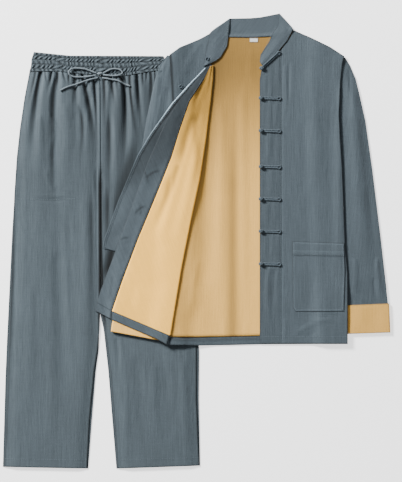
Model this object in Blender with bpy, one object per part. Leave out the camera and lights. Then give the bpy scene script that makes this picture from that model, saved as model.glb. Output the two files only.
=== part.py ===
"""Tai chi uniform laid flat: drawstring trousers under a lined jacket with one front turned back.

World frame: x to the right, y towards the collar, z up from the floor. Tables are in centimetres.
"""
import math

import bmesh
import bpy
import numpy as np
from mathutils import Vector
from mathutils.bvhtree import BVHTree

CM = 0.01

# Cloth thicknesses and the gaps between pieces, in metres
SHELL = 0.0014
TROUSER = 0.0016
LINING = 0.0010
CASING = 0.0020
SEAM_GAP = 0.0003
LAY_GAP = 0.0005
LINING_INSET = 0.0005

# How finely a laid cloth is fitted to what it lies on
SINK_TURNS = 40
LAY_REACH = 0.004
PROBES = 7

# Points of each laid cloth, as steps along and across it
LEG_BACK_STEPS = (12, 4)
LEG_FRONT_ROWS = 18
LEG_ROW_CROWDING = 1.25
WAIST_BACK_STEPS = (2, 10)
WAIST_FRONT_ROWS = 4
SLEEVE_STEPS = (11, 8)
CUFF_ROWS = 3
BACK_STEPS = (15, 16)
LEFT_FRONT_STEPS = (18, 10)
POCKET_STEPS = (6, 5)
STRIP_STEPS = (14, 2)
TURNED_ROWS = 17
RIGHT_NECK_ROWS = 3
RIGHT_LOWER_COLS = 5
ROLL_COLS = 3
FACING_COLS = 3
RIGHT_LINING_COLS = 5
COLLAR_STEPS = (7, 3)

# Sleeves and cuffs: flattened tubes
SLEEVE_HOLLOW = 0.0006
CUFF_SHARE = 0.098
CUFF_WALL = 0.0014
CUFF_OVERHANG = 0.004
SIDE_BULGE = 0.35

# Fastenings
KNOT_SIZE = (0.0105, 0.0105, 0.0085)
STRAP_WIDTH = 0.0085
STRAP_THICK = 0.0024
STRAP_ROUNDING = 0.35
STRAP_LENGTH = 0.048
STRAP_DROP = 0.15
STRAP_START = 0.0005
LOOP_WIRE = 0.0012
LOOP_SIZE = (0.0042, 0.0034)
LOOP_OUT = 0.003
LOOP_SWEEP = 130.0
LOOP_POINTS = 12
DRAWSTRING_RADIUS = 0.0021
WAIST_GATHERS = 28
GATHER_HEIGHT = 0.0016
GATHER_BY_ROW = (1.0, 0.55, 1.0, 0.55, 0.9)

# Outlines of the trousers, each from the hem up or from left to right: x, y
RIGHT_LEG_BACK_OUTER = ((-47.4, -55.3), (-46.8, -34.0), (-46.4, -24.2), (-45.1, 2.7), (-44.0, 20.4),
                        (-43.2, 27.7), (-42.1, 35.1), (-40.9, 41.4))
RIGHT_LEG_BACK_INNER = ((-26.5, -55.7), (-25.6, -43.8), (-24.6, -31.6), (-23.9, -26.7), (-23.8, -21.8),
                        (-23.9, 16.9), (-23.9, 40.5))
RIGHT_LEG_FRONT_OUTER = ((-47.1, -55.3), (-46.5, -46.3), (-45.8, -24.2), (-44.6, 11.3), (-44.0, 20.4),
                         (-43.2, 27.7), (-42.1, 35.1), (-40.9, 41.4))
RIGHT_LEG_FRONT_INNER = ((-26.8, -55.7), (-26.2, -43.8), (-25.0, -31.6), (-24.2, -26.7), (-23.9, -21.8),
                         (-23.9, 16.9), (-23.9, 40.5))
RIGHT_LEG_HEM = ((-47.4, -55.3), (-26.5, -55.7))
LEFT_LEG_BACK_INNER = ((-19.6, -55.7), (-20.6, -43.8), (-21.6, -31.6), (-22.6, -21.8), (-23.3, -2.2),
                       (-23.86, 16.9), (-23.86, 40.5))
LEFT_LEG_BACK_OUTER = ((0.9, -55.0), (0.6, -38.9), (0.7, -26.7), (-1.6, -2.2), (-4.0, 20.4),
                       (-4.9, 27.7), (-6.0, 35.1), (-7.3, 41.9))
LEFT_LEG_FRONT_INNER = ((-19.3, -55.7), (-20.1, -43.8), (-21.1, -31.6), (-22.3, -21.8), (-23.2, -2.2),
                        (-23.86, 16.9), (-23.86, 40.5))
LEFT_LEG_FRONT_OUTER = ((0.7, -55.0), (0.0, -38.9), (0.0, -26.7), (-1.9, -2.2), (-4.0, 20.4),
                        (-4.9, 27.7), (-6.0, 35.1), (-7.3, 41.9))
LEFT_LEG_HEM = ((-19.6, -55.7), (0.9, -55.0))
WAIST_SEAM_RIGHT = ((-40.9, 41.4), (-33.4, 41.4), (-27.3, 40.7), (-23.9, 40.5))
WAIST_SEAM_LEFT = ((-23.86, 40.5), (-19.9, 40.2), (-16.3, 40.5), (-11.4, 41.4), (-7.3, 41.9))
WAIST_TOP = ((-39.8, 46.3), (-35.9, 45.9), (-31.0, 45.4), (-8.1, 45.3))
WAIST_RIGHT_END = ((-40.9, 41.4), (-40.5, 42.9), (-40.4, 44.4), (-39.8, 46.3))
WAIST_LEFT_END = ((-7.3, 41.9), (-7.4, 43.6), (-8.1, 45.3))

# Outlines of the jacket: x, y
BACK_RIGHT_SIDE = ((-6.8, -25.4), (-6.8, -14.4), (-6.3, -0.5), (-5.6, 17.9), (-5.5, 24.8), (-5.7, 30.9),
                   (-6.3, 40.7), (-6.6, 45.5))
BACK_LEFT_SIDE = ((37.0, -25.2), (37.0, -8.0), (36.4, -0.5), (35.7, 17.9), (35.2, 24.8), (34.9, 30.9),
                  (35.2, 38.3), (35.7, 43.2), (36.2, 45.2))
BACK_TOP = ((-6.6, 45.5), (-4.0, 47.4), (0.9, 49.5), (3.3, 50.8), (4.3, 50.3), (8.7, 50.0), (18.0, 50.1),
            (22.4, 50.8), (23.7, 51.7), (27.8, 49.9), (32.7, 47.5), (36.2, 45.2))
BACK_HEM = ((-6.8, -25.4), (0.9, -25.6), (8.2, -25.5), (15.6, -25.3), (37.0, -25.2))
HEM_FACING_DEPTH = 1.9
FRONT_EDGE = ((15.5, -25.2), (15.5, 39.5), (16.1, 42.8))
LEFT_NECK_AND_SHOULDER = ((16.1, 42.8), (19.3, 45.5), (20.7, 47.0), (22.2, 48.9), (23.1, 50.3), (23.7, 51.7),
                          (27.8, 49.9), (32.7, 47.5), (36.2, 45.2))
LEFT_FRONT_HEM = ((15.5, -25.2), (37.0, -25.2))
POCKET_LEFT = ((24.3, -17.3), (23.6, -16.4), (23.5, -4.6), (23.5, 0.0))
POCKET_RIGHT = ((36.1, -17.2), (36.4, -7.1), (36.1, -0.5))
POCKET_TOP = ((23.5, 0.0), (36.1, -0.5))
POCKET_BOTTOM = ((24.3, -17.3), (36.1, -17.2))
RIGHT_SHOULDER = ((-6.6, 45.5), (-4.0, 47.4), (0.9, 49.5), (3.3, 50.8))
RIGHT_FRONT_SIDE = ((-8.0, -25.3), (-7.4, -22.9), (-6.6, -7.0), (-6.2, -0.5), (-5.6, 17.9), (-5.5, 24.8),
                    (-5.7, 30.9), (-6.3, 40.7), (-6.6, 45.5))
SHOULDER_BEND_Y = 30.0
ROLL_LINE = ((-6.6, -23.0), (-5.2, -14.4), (-4.0, -7.1), (-1.6, 5.2), (0.4, 15.0), (2.0, 24.8), (3.3, 34.6),
             (3.8, 39.5), (3.9, 42.9))
RIGHT_NECK = ((3.9, 42.9), (2.1, 44.6), (2.6, 47.8), (3.1, 49.5), (3.3, 50.8))
TURNED_EDGE = ((-24.3, -15.0), (-23.4, -12.0), (-19.7, -2.2), (-16.0, 8.1), (-11.6, 19.9), (-7.2, 29.7),
               (-4.0, 34.6), (0.9, 40.5), (2.8, 42.7))
TURNED_LINING_EDGE = ((-20.6, -17.1), (-18.0, -9.5), (-14.3, 0.3), (-8.9, 13.3), (-6.0, 20.6), (-4.0, 27.2),
                      (-1.6, 34.1), (0.6, 37.5), (1.9, 39.5), (3.4, 42.8))
TURNED_HEM_SEAM = 0.235
TURNED_HEM = ((-24.8, -17.1), (-20.7, -19.2), (-12.6, -22.7), (-10.1, -23.7), (-7.2, -25.3))
STRIP_OUTER = ((-22.9, -1.7), (-22.6, 0.3), (-19.0, 10.1), (-14.3, 21.1), (-11.4, 26.0), (-6.0, 33.6),
               (-1.6, 38.5), (2.1, 42.4))
STRIP_INNER = ((-18.5, -2.9), (-17.7, -0.2), (-13.8, 10.8), (-9.4, 22.1), (-7.0, 27.2), (-2.8, 33.6),
               (0.1, 37.5), (3.0, 41.4))
ROLL_WAY = (1.0, 0.12, 0.0)
COLLAR_RIGHT_NECK = ((1.7, 42.8), (2.1, 45.6), (2.6, 47.8), (3.3, 50.9))
COLLAR_RIGHT_FREE = ((3.1, 43.3), (5.0, 44.3), (6.0, 45.1), (7.5, 47.6), (7.7, 48.8), (8.3, 54.5))
COLLAR_BACK_NECK = ((3.3, 50.9), (8.2, 50.3), (13.1, 50.2), (18.5, 50.5), (23.7, 51.8))
COLLAR_BACK_FREE = ((8.3, 54.5), (13.1, 54.6), (15.6, 54.8), (20.2, 55.7))
COLLAR_LEFT_NECK = ((23.7, 51.8), (22.2, 49.0), (19.3, 45.6), (16.1, 42.9))
COLLAR_LEFT_FREE = ((20.2, 55.7), (19.9, 52.5), (18.8, 51.1), (17.8, 48.8), (15.7, 45.6), (15.5, 43.9))
COLLAR_RIGHT_WAY = (-0.9, 0.43, 0.0)
COLLAR_LEFT_WAY = (0.86, 0.51, 0.0)

# Sleeves, from the cuff end up to the armhole: x, y
LEFT_SLEEVE_INNER = ((32.2, -22.5), (32.5, -4.6), (33.2, 19.9), (32.7, 37.0), (32.7, 44.9))
LEFT_SLEEVE_OUTER = ((47.1, -22.0), (46.8, -15.4), (45.1, 0.3), (43.0, 17.4), (41.3, 29.4), (38.9, 39.7),
                     (37.6, 42.9), (36.3, 45.0))
RIGHT_SLEEVE_OUTER = ((-20.5, -21.8), (-17.2, -2.2), (-13.6, 19.9), (-12.2, 29.2), (-10.1, 39.0),
                      (-8.9, 42.9), (-7.1, 45.4))
RIGHT_SLEEVE_INNER = ((-5.8, -24.5), (-3.3, -4.6), (-2.1, 22.3), (-3.0, 41.9), (-3.5, 45.1))

# Troughs in the trouser fronts: x and y of start, middle and end, half width at the start, depth in mm
LEG_TROUGHS = (
    (-40.0, 41.6, -40.4, 38.2, -41.0, 33.0, 0.8, 3.0),
    (-37.6, 41.4, -39.4, 33.0, -41.0, 16.0, 1.1, 5.0),
    (-35.3, 41.4, -35.6, 39.0, -36.6, 35.0, 0.8, 3.0),
    (-34.1, 41.4, -34.6, 30.0, -33.8, 0.0, 1.4, 5.0),
    (-33.8, 2.0, -33.0, -25.0, -30.5, -50.0, 2.2, 2.2),
    (-29.8, 40.8, -29.6, 34.0, -28.6, 18.0, 0.9, 4.0),
    (-27.4, 40.6, -25.4, 31.0, -24.6, 20.0, 1.1, 5.0),
    (-22.2, 40.4, -22.5, 36.0, -23.0, 31.0, 0.8, 3.5),
    (-20.6, 40.4, -21.4, 28.0, -21.4, 2.0, 1.2, 5.5),
    (-17.2, 40.4, -17.4, 28.0, -18.6, 12.0, 1.3, 6.0),
    (-14.2, 40.6, -14.0, 30.0, -13.6, 20.0, 1.1, 5.0),
    (-11.2, 41.4, -11.2, 36.0, -11.8, 30.0, 0.9, 3.0),
    (-19.6, -23.5, -18.8, -28.0, -19.2, -36.0, 0.9, 1.8),
    (-9.8, -27.0, -7.5, -38.0, -4.0, -50.0, 2.0, 1.4),
)
PUFF_WAIST = 0.0070
PUFF_LEG = 0.0036
PUFF_UNDER_JACKET = 0.0012
PUFF_GROWS = (5.0, 30.0)
EDGE_EASE = 0.028
TROUGH_UNDER_JACKET = 0.2

# Where the trousers are pressed flat: below the body of the jacket and below its turned front
BODY_EDGE_X = -15.5
TURNED_REST_Y = (-22.0, -2.0, 26.0, 30.0)
TURNED_REST_X = (-21.0, -21.0, -13.0, -13.0)
JACKET_HEM_Y = -27.0
TURNED_TOP_Y = 26.0
PRESS_EASE = 4.0

# Soft ridges in the jacket cloths: x and y of start, middle and end, half width, height in mm
BACK_LINING_RIDGES = (
    (5.4, 46.0, 5.6, 10.0, 3.2, -22.0, 2.0, 1.6),
    (12.4, 46.0, 11.4, 10.0, 12.0, -22.0, 2.2, 2.0),
)
LEFT_FRONT_RIDGES = (
    (18.6, 40.0, 18.2, 20.0, 18.6, 4.0, 1.0, 1.2),
    (19.6, -3.0, 19.0, -12.0, 18.2, -23.0, 1.1, 1.5),
    (27.5, 42.0, 28.0, 22.0, 27.0, 3.0, 2.6, 1.4),
    (30.0, -18.5, 28.0, -21.0, 24.5, -24.5, 1.6, 1.2),
)
TURNED_RIDGES = (
    (1.0, 34.0, -5.5, 12.0, -14.5, -16.0, 1.7, 2.2),
    (0.5, 22.0, -4.0, 4.0, -9.5, -19.0, 2.2, 1.8),
    (-6.0, 27.0, -12.0, 12.0, -19.5, -8.0, 1.2, 1.5),
)
RIGHT_SLEEVE_RIDGES = (
    (-9.0, 40.0, -9.8, 32.0, -11.0, 24.0, 1.3, 1.6),
)
LEFT_SLEEVE_RIDGES = (
    (38.4, 36.0, 39.6, 16.0, 41.0, -12.0, 1.6, 1.6),
    (44.6, -2.0, 44.8, -8.0, 45.6, -14.0, 0.9, 1.2),
)

# Fastenings on the left front: y of each strap
FROG_Y = (35.0, 27.0, 18.2, 10.3, 2.4, -5.6)
FROG_KNOT_X = 15.8
NECK_FROG = ((16.0, 42.3), (20.4, 46.2))
BUTTON_LOOPS = ((2.5, 44.3, 60.0), (-3.6, 38.0, -140.0))
LABEL = (14.1, 49.6, 2.4, 1.1)

# Drawstring: route of each stretch, x and y, from the knot outwards
BOW_KNOT = (-23.6, 40.9)
BOW_KNOT_SIZE = (0.0130, 0.0075, 0.0070)
DRAWSTRING = {
    "drawstring_right_loop": ((-24.6, 41.1), (-27.4, 42.1), (-30.2, 42.2), (-31.2, 41.2), (-30.2, 40.2),
                              (-27.4, 40.1), (-24.6, 40.5)),
    "drawstring_left_loop": ((-22.6, 41.2), (-20.6, 42.1), (-18.7, 41.9), (-18.1, 41.1), (-19.0, 40.5),
                             (-20.8, 40.4), (-22.6, 40.6)),
    "drawstring_right_end": ((-24.2, 39.9), (-26.6, 39.3), (-29.4, 38.3), (-31.6, 37.6), (-33.2, 36.8)),
    "drawstring_left_end": ((-22.9, 39.9), (-21.2, 39.6), (-19.2, 39.2), (-17.6, 38.4), (-16.3, 37.9)),
}

COLOURS = {
    "trouser_cloth": (0.165, 0.205, 0.225),
    "jacket_cloth": (0.120, 0.155, 0.175),
    "lining_cloth": (0.640, 0.470, 0.275),
    "label_cloth": (0.850, 0.850, 0.840),
    "drawstring_cord": (0.260, 0.310, 0.340),
    "frog_cloth": (0.105, 0.140, 0.160),
}

TOPS = {}


def clear_scene():
    for obj in list(bpy.data.objects):
        bpy.data.objects.remove(obj, do_unlink=True)


def make_collection(name):
    group = bpy.data.collections.new(name)
    bpy.context.scene.collection.children.link(group)
    return group


def make_material(name, piece):
    """A material of its own for each piece, in the colour of its cloth."""
    mat = bpy.data.materials.new(f"{name}_{piece}"[:59])
    mat.use_nodes = True
    shader = mat.node_tree.nodes["Principled BSDF"]
    shader.inputs["Base Color"].default_value = (*COLOURS[name], 1.0)
    shader.inputs["Roughness"].default_value = 0.9
    return mat


def finish_mesh(name, bm, cloth):
    bmesh.ops.recalc_face_normals(bm, faces=bm.faces)
    mesh = bpy.data.meshes.new(name)
    bm.to_mesh(mesh)
    bm.free()
    mesh.materials.append(make_material(cloth, name))
    obj = bpy.data.objects.new(name, mesh)
    UNIFORM.objects.link(obj)
    return obj


def cloth_wall(name, under, over, cloth, joined=False, keep=None):
    """Closed wall between two sheets of points that are given row by row."""
    rows = under.shape[0] - 1
    cols = under.shape[1] - 1
    bm = bmesh.new()
    bmesh.ops.create_grid(bm, x_segments=cols, y_segments=rows, size=1.0)
    place = bm.verts.layers.int.new("place")
    for vert in bm.verts:
        col = round((vert.co.x + 1.0) / 2.0 * cols)
        row = round((vert.co.y + 1.0) / 2.0 * rows)
        vert[place] = row * (cols + 1) + col
    if keep is not None:
        spots = {f: min(v[place] for v in f.verts) for f in bm.faces}
        gone = [f for f, spot in spots.items() if not keep(spot // (cols + 1), spot % (cols + 1))]
        bmesh.ops.delete(bm, geom=gone, context='FACES')
    bmesh.ops.triangulate(bm, faces=bm.faces, quad_method='FIXED')
    under_points = under.reshape(-1, 3)
    over_points = over.reshape(-1, 3)
    for vert in bm.verts:
        vert.co = under_points[vert[place]]
    if joined:
        bmesh.ops.remove_doubles(bm, verts=bm.verts, dist=0.00002)
    grown = bmesh.ops.extrude_face_region(bm, geom=list(bm.faces))
    for item in grown["geom"]:
        if isinstance(item, bmesh.types.BMVert):
            item.co = over_points[item[place]]
    TOPS[name] = over
    return finish_mesh(name, bm, cloth)


def along(line, fractions):
    """Points in metres at fractions of the length of a line given in centimetres."""
    points = np.array(line, float) * CM
    steps = np.concatenate([[0.0], np.cumsum(np.hypot(*np.diff(points, axis=0).T))])
    at = np.asarray(fractions) * steps[-1]
    return np.stack([np.interp(at, steps, points[:, axis]) for axis in range(2)], axis=-1)


def line_length(line):
    return np.hypot(*np.diff(np.array(line, float), axis=0).T).sum()


def patch(left, right, bottom, top, us, vs):
    """Grid of plan points inside four border lines, row by row from the bottom."""
    u = np.asarray(us)[None, :, None]
    v = np.asarray(vs)[:, None, None]
    left_side = along(left, vs)[:, None]
    right_side = along(right, vs)[:, None]
    low = along(bottom, us)[None]
    high = along(top, us)[None]
    corners = ((1 - u) * (1 - v) * low[:, :1] + u * (1 - v) * low[:, -1:]
               + (1 - u) * v * high[:, :1] + u * v * high[:, -1:])
    return (1 - u) * left_side + u * right_side + (1 - v) * low + v * high - corners


def even(count):
    return np.linspace(0.0, 1.0, count + 1)


def with_height(plan, height):
    return np.concatenate([plan, np.broadcast_to(height, plan.shape[:2])[..., None]], axis=-1)


def smooth_step(value):
    value = np.clip(value, 0.0, 1.0)
    return value * value * (3.0 - 2.0 * value)


def crease(plan, row, spread=1.0):
    """Height of one soft crease over the plan points; it starts full and fades to its end."""
    x1, y1, x2, y2, x3, y3, half, height = row
    y = plan[..., 1] / CM
    x = plan[..., 0] / CM
    fall = np.clip((y1 - y) / (y1 - y3), 0.0, 1.0)
    middle = (y1 - y2) / (y1 - y3)
    centre = np.interp(fall, (0.0, middle, 1.0), (x1, x2, x3))
    width = half * (1.0 + spread * fall)
    across = np.clip(np.abs(x - centre) / width, 0.0, 1.0)
    shape = 0.5 + 0.5 * np.cos(math.pi * across)
    fade = smooth_step((1.0 - fall) * 1.6) * smooth_step(1.0 + (y1 + half - y) / (2.0 * half))
    return shape * fade * height * 0.001


def ridges(plan, rows):
    total = np.zeros(plan.shape[:2])
    for row in rows:
        total = total + crease(plan, row)
    return total


def tree_of(names):
    """The upper surfaces of laid pieces as one ray tree."""
    verts = []
    faces = []
    for name in names:
        sheet = TOPS[name]
        first = len(verts)
        rows, cols = sheet.shape[:2]
        verts.extend(Vector(point) for point in sheet.reshape(-1, 3))
        for row in range(rows - 1):
            for col in range(cols - 1):
                a = first + row * cols + col
                faces.append((a, a + 1, a + cols + 1))
                faces.append((a, a + cols + 1, a + cols))
    return BVHTree.FromPolygons(verts, faces)


def height_at(tree, x, y, reach):
    """Highest point of the laid pieces within reach of a place, or nothing over bare floor."""
    best = None
    for dx, dy in ((0, 0), (reach, 0), (-reach, 0), (0, reach), (0, -reach)):
        hit = tree.ray_cast(Vector((x + dx, y + dy, 1.0)), Vector((0, 0, -1)))[0]
        if hit is not None and (best is None or hit.z > best):
            best = hit.z
    return best


def rest_on(names, plan, gap=LAY_GAP, reach=LAY_REACH):
    """Lowest heights at which a cloth over the plan points clears the named pieces."""
    tree = tree_of(names)
    rows, cols = plan.shape[:2]
    places = np.arange(rows * cols).reshape(rows, cols)
    cell = (places[:-1, :-1], places[:-1, 1:], places[1:, :-1], places[1:, 1:])
    corner = [plan.reshape(-1, 2)[index] for index in cell]
    rules = []
    for s in even(PROBES):
        for t in even(PROBES):
            spots = ((1 - s) * (1 - t) * corner[0] + s * (1 - t) * corner[1]
                     + (1 - s) * t * corner[2] + s * t * corner[3])
            need = np.zeros(spots.shape[:2])
            for index in np.ndindex(need.shape):
                top = height_at(tree, spots[index][0], spots[index][1], reach)
                need[index] = 0.0 if top is None else top + gap
            if s >= t:
                terms = ((0, 1 - s), (1, s - t), (3, t))
            else:
                terms = ((0, 1 - t), (2, t - s), (3, s))
            rules.append((need, terms))
            if s + t <= 1:
                terms = ((0, 1 - s - t), (1, s), (2, t))
            else:
                terms = ((3, s + t - 1), (2, 1 - s), (1, 1 - t))
            rules.append((need, terms))
    # Start safely high, then sink every point by a third of its free height at a time
    z = np.zeros(rows * cols)
    for need, terms in rules:
        for k, weight in terms:
            if weight > 0:
                np.maximum.at(z, cell[k], need)
    for turn in range(SINK_TURNS):
        free = z.copy()
        for need, terms in rules:
            spare = sum(weight * z[cell[k]] for k, weight in terms) - need
            for k, weight in terms:
                if weight > 0:
                    np.minimum.at(free, cell[k], spare / weight)
        z = z - np.maximum(free, 0.0) / 3.0
    return z.reshape(rows, cols)


def drawn_in(sheet, bottom=0.0, top=0.0, left=0.0, right=0.0):
    """The same sheet with some borders moved inwards, to leave a seam gap."""
    out = sheet.copy()

    def pull(edge, inner, amount):
        way = inner - edge
        length = np.linalg.norm(way[..., :2], axis=-1, keepdims=True)
        return edge + way / np.maximum(length, 1e-6) * amount

    if bottom:
        out[0] = pull(sheet[0], sheet[1], bottom)
    if top:
        out[-1] = pull(sheet[-1], sheet[-2], top)
    side = out.copy()
    if left:
        out[:, 0] = pull(side[:, 0], side[:, 1], left)
    if right:
        out[:, -1] = pull(side[:, -1], side[:, -2], right)
    return out


def lifted(sheet, amount):
    return sheet + np.array((0.0, 0.0, amount))


def leg_relief(plan, share):
    """Puff of a trouser front less its troughs; share is each point's place across the piece."""
    y = plan[..., 1] / CM
    x = plan[..., 0] / CM
    high = smooth_step((y - PUFF_GROWS[0]) / PUFF_GROWS[1])
    puff = PUFF_LEG + (PUFF_WAIST - PUFF_LEG) * high
    above_hem = smooth_step((y - JACKET_HEM_Y) / PRESS_EASE)
    covered = smooth_step((x - BODY_EDGE_X) / PRESS_EASE) * above_hem
    turned_edge = np.interp(y, TURNED_REST_Y, TURNED_REST_X)
    under_panel = smooth_step((x - turned_edge + PRESS_EASE) / PRESS_EASE) * above_hem
    under_panel = under_panel * smooth_step((TURNED_TOP_Y - y) / (1.5 * PRESS_EASE))
    flat = np.maximum(covered, under_panel)
    puff = puff * (1.0 - flat) + PUFF_UNDER_JACKET * flat
    edge = smooth_step(share / EDGE_EASE)
    trough = np.zeros(plan.shape[:2])
    for row in LEG_TROUGHS:
        trough = np.maximum(trough, crease(plan, row))
    kept = 1.0 - (1.0 - TROUGH_UNDER_JACKET) * flat
    return np.maximum(puff * edge - trough * edge * kept, 0.0)


def border_distance(plan):
    """Distance in metres of each point to the nearer side border of its row."""
    to_left = np.linalg.norm(plan - plan[:, :1], axis=-1)
    to_right = np.linalg.norm(plan - plan[:, -1:], axis=-1)
    return np.minimum(to_left, to_right)


def build_trousers():
    rows = 1.0 - (1.0 - even(LEG_FRONT_ROWS)) ** LEG_ROW_CROWDING
    legs = (
        ("right", RIGHT_LEG_BACK_OUTER, RIGHT_LEG_BACK_INNER, RIGHT_LEG_FRONT_OUTER, RIGHT_LEG_FRONT_INNER,
         RIGHT_LEG_HEM, WAIST_SEAM_RIGHT),
        ("left", LEFT_LEG_BACK_INNER, LEFT_LEG_BACK_OUTER, LEFT_LEG_FRONT_INNER, LEFT_LEG_FRONT_OUTER,
         LEFT_LEG_HEM, WAIST_SEAM_LEFT),
    )
    back_rows, back_cols = LEG_BACK_STEPS
    for side, back_a, back_b, front_a, front_b, hem, seam in legs:
        plan = patch(back_a, back_b, hem, (seam[0], seam[-1]), even(back_cols), even(back_rows))
        under = with_height(plan, 0.0)
        cloth_wall(f"trouser_{side}_leg_back", under, lifted(under, TROUSER), "trouser_cloth")
        plan = patch(front_a, front_b, (front_a[0], front_b[0]), seam, even(WAIST_GATHERS), rows)
        relief = leg_relief(plan, border_distance(plan))
        under = with_height(plan, TROUSER + SEAM_GAP + relief)
        cloth_wall(f"trouser_{side}_leg_front", under, lifted(under, TROUSER), "trouser_cloth")


def build_waist():
    seam = WAIST_SEAM_RIGHT + WAIST_SEAM_LEFT[1:]
    seam = tuple((x, y + SEAM_GAP / CM) for x, y in seam)
    right_end = seam[:1] + WAIST_RIGHT_END[1:]
    left_end = seam[-1:] + WAIST_LEFT_END[1:]
    straight = (seam[0], seam[len(WAIST_SEAM_RIGHT) - 1], seam[-1])
    middle = line_length(straight[:2]) / line_length(straight)
    back_rows, back_cols = WAIST_BACK_STEPS
    half = even(back_cols // 2)
    columns = np.concatenate([half * middle, middle + (1 - middle) * half[1:]])
    plan = patch(right_end, left_end, straight, WAIST_TOP, columns, even(back_rows))
    under = with_height(plan, 0.0)
    cloth_wall("trouser_waist_back", under, lifted(under, CASING), "trouser_cloth")
    right_length = line_length(seam[:len(WAIST_SEAM_RIGHT)])
    middle = right_length / (right_length + line_length(seam[len(WAIST_SEAM_RIGHT) - 1:]))
    half = even(WAIST_GATHERS)
    columns = np.concatenate([half * middle, middle + (1 - middle) * half[1:]])
    plan = patch(right_end, left_end, seam, WAIST_TOP, columns, even(WAIST_FRONT_ROWS))
    gather = np.where(np.arange(2 * WAIST_GATHERS + 1) % 2 == 1, GATHER_HEIGHT, 0.0)
    covered = smooth_step((plan[..., 0] / CM - BODY_EDGE_X) / PRESS_EASE)
    relief = gather[None] * np.array(GATHER_BY_ROW)[:, None] * (1.0 - covered)
    under = with_height(plan, CASING + SEAM_GAP + relief)
    cloth_wall("trouser_waist_front", under, lifted(under, CASING), "trouser_cloth")


def tube_wall(name, bottom, height, wall, cloth, grow=0.0):
    """Flattened open tube: bottom sheet, height of the tube over it, wall thickness.

    A grown tube lies that far outside the plain one.
    """
    top = lifted(bottom, 0.0)
    top[..., 2] = bottom[..., 2] + height
    way = bottom[:, 1:2] - bottom[:, :1]
    out_left = -way / np.linalg.norm(way, axis=-1, keepdims=True)
    way = bottom[:, -1:] - bottom[:, -2:-1]
    out_right = way / np.linalg.norm(way, axis=-1, keepdims=True)

    def ring(offset):
        low = bottom - np.array((0.0, 0.0, offset))
        high = top + np.array((0.0, 0.0, offset))
        low[:, :1] += out_left * offset
        high[:, :1] += out_left * offset
        low[:, -1:] += out_right * offset
        high[:, -1:] += out_right * offset
        bulge = height[:, :1, None] * SIDE_BULGE
        mid_left = (low[:, :1] + high[:, :1]) / 2 + out_left * bulge
        mid_right = (low[:, -1:] + high[:, -1:]) / 2 + out_right * bulge
        return np.concatenate([low, mid_right, high[:, ::-1], mid_left, low[:, :1]], axis=1)

    outer = ring(grow)
    inner = ring(grow - wall)
    cloth_wall(name, inner, outer, cloth, joined=True)


def build_sleeve(side, inner_line, outer_line, under_names, ridge_rows):
    """Sleeve and its turned-up cuff; the sleeve's grid runs from its left border to its right one."""
    above_cuff, across = SLEEVE_STEPS
    above = CUFF_SHARE + even(above_cuff)[1:] * (1 - CUFF_SHARE)
    rows = np.concatenate([even(CUFF_ROWS) * CUFF_SHARE, above])
    left, right = sorted((inner_line, outer_line))
    plan = patch(left, right, (left[0], right[0]), (left[-1], right[-1]), even(across), rows)
    cuff_lift = (CUFF_WALL + SEAM_GAP) * (1.0 - smooth_step((rows - 1.1 * CUFF_SHARE) / (2 * CUFF_SHARE)))
    if under_names:
        floor = rest_on(under_names, plan)
    else:
        floor = np.zeros(plan.shape[:2])
    bottom = with_height(plan, floor + cuff_lift[:, None])
    hollow = 2 * SHELL + SLEEVE_HOLLOW + ridges(plan, ridge_rows)
    tube_wall(f"jacket_{side}_sleeve", bottom, hollow, SHELL, "jacket_cloth")
    cuff_rows = slice(0, CUFF_ROWS + 1)
    low = bottom[cuff_rows].copy()
    away = low[0] - low[1]
    low[0] += away / np.linalg.norm(away, axis=-1, keepdims=True) * CUFF_OVERHANG
    tube_wall(f"jacket_{side}_cuff", low, hollow[cuff_rows], CUFF_WALL, "lining_cloth",
              grow=SEAM_GAP + CUFF_WALL)


def build_back():
    below = ("trouser_left_leg_front", "trouser_waist_front", "jacket_right_sleeve", "jacket_right_cuff",
             "jacket_left_sleeve", "jacket_left_cuff")
    back_rows, back_cols = BACK_STEPS
    facing_share = HEM_FACING_DEPTH / line_length(BACK_RIGHT_SIDE)
    rows = np.concatenate([[0.0], facing_share + (1 - facing_share) * even(back_rows)])
    plan = patch(BACK_RIGHT_SIDE, BACK_LEFT_SIDE, BACK_HEM, BACK_TOP, even(back_cols), rows)
    under = with_height(plan, rest_on(below, plan))
    cloth_wall("jacket_back", under, lifted(under, SHELL), "jacket_cloth")
    inside = lifted(under, SHELL + SEAM_GAP)
    inside[..., 2] += ridges(plan, BACK_LINING_RIDGES)
    half_gap = SEAM_GAP / 2
    lining = drawn_in(inside[1:], bottom=half_gap, top=LINING_INSET, left=LINING_INSET, right=LINING_INSET)
    cloth_wall("jacket_back_lining", lining, lifted(lining, LINING), "lining_cloth")
    facing = drawn_in(inside[:2], top=half_gap, left=LINING_INSET, right=LINING_INSET, bottom=LINING_INSET)
    cloth_wall("jacket_back_hem_facing", facing, lifted(facing, LINING), "jacket_cloth")


def build_left_front():
    below = ("jacket_back", "jacket_back_lining", "jacket_back_hem_facing", "jacket_left_sleeve",
             "jacket_left_cuff")
    rows, cols = LEFT_FRONT_STEPS
    plan = patch(FRONT_EDGE, BACK_LEFT_SIDE, LEFT_FRONT_HEM, LEFT_NECK_AND_SHOULDER, even(cols), even(rows))
    under = with_height(plan, rest_on(below, plan) + ridges(plan, LEFT_FRONT_RIDGES))
    cloth_wall("jacket_left_front", under, lifted(under, SHELL), "jacket_cloth")
    rows, cols = POCKET_STEPS
    plan = patch(POCKET_LEFT, POCKET_RIGHT, POCKET_BOTTOM, POCKET_TOP, even(cols), even(rows))
    under = with_height(plan, rest_on(("jacket_left_front",), plan, reach=0.0))
    cloth_wall("jacket_pocket", under, lifted(under, SHELL), "jacket_cloth")


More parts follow.
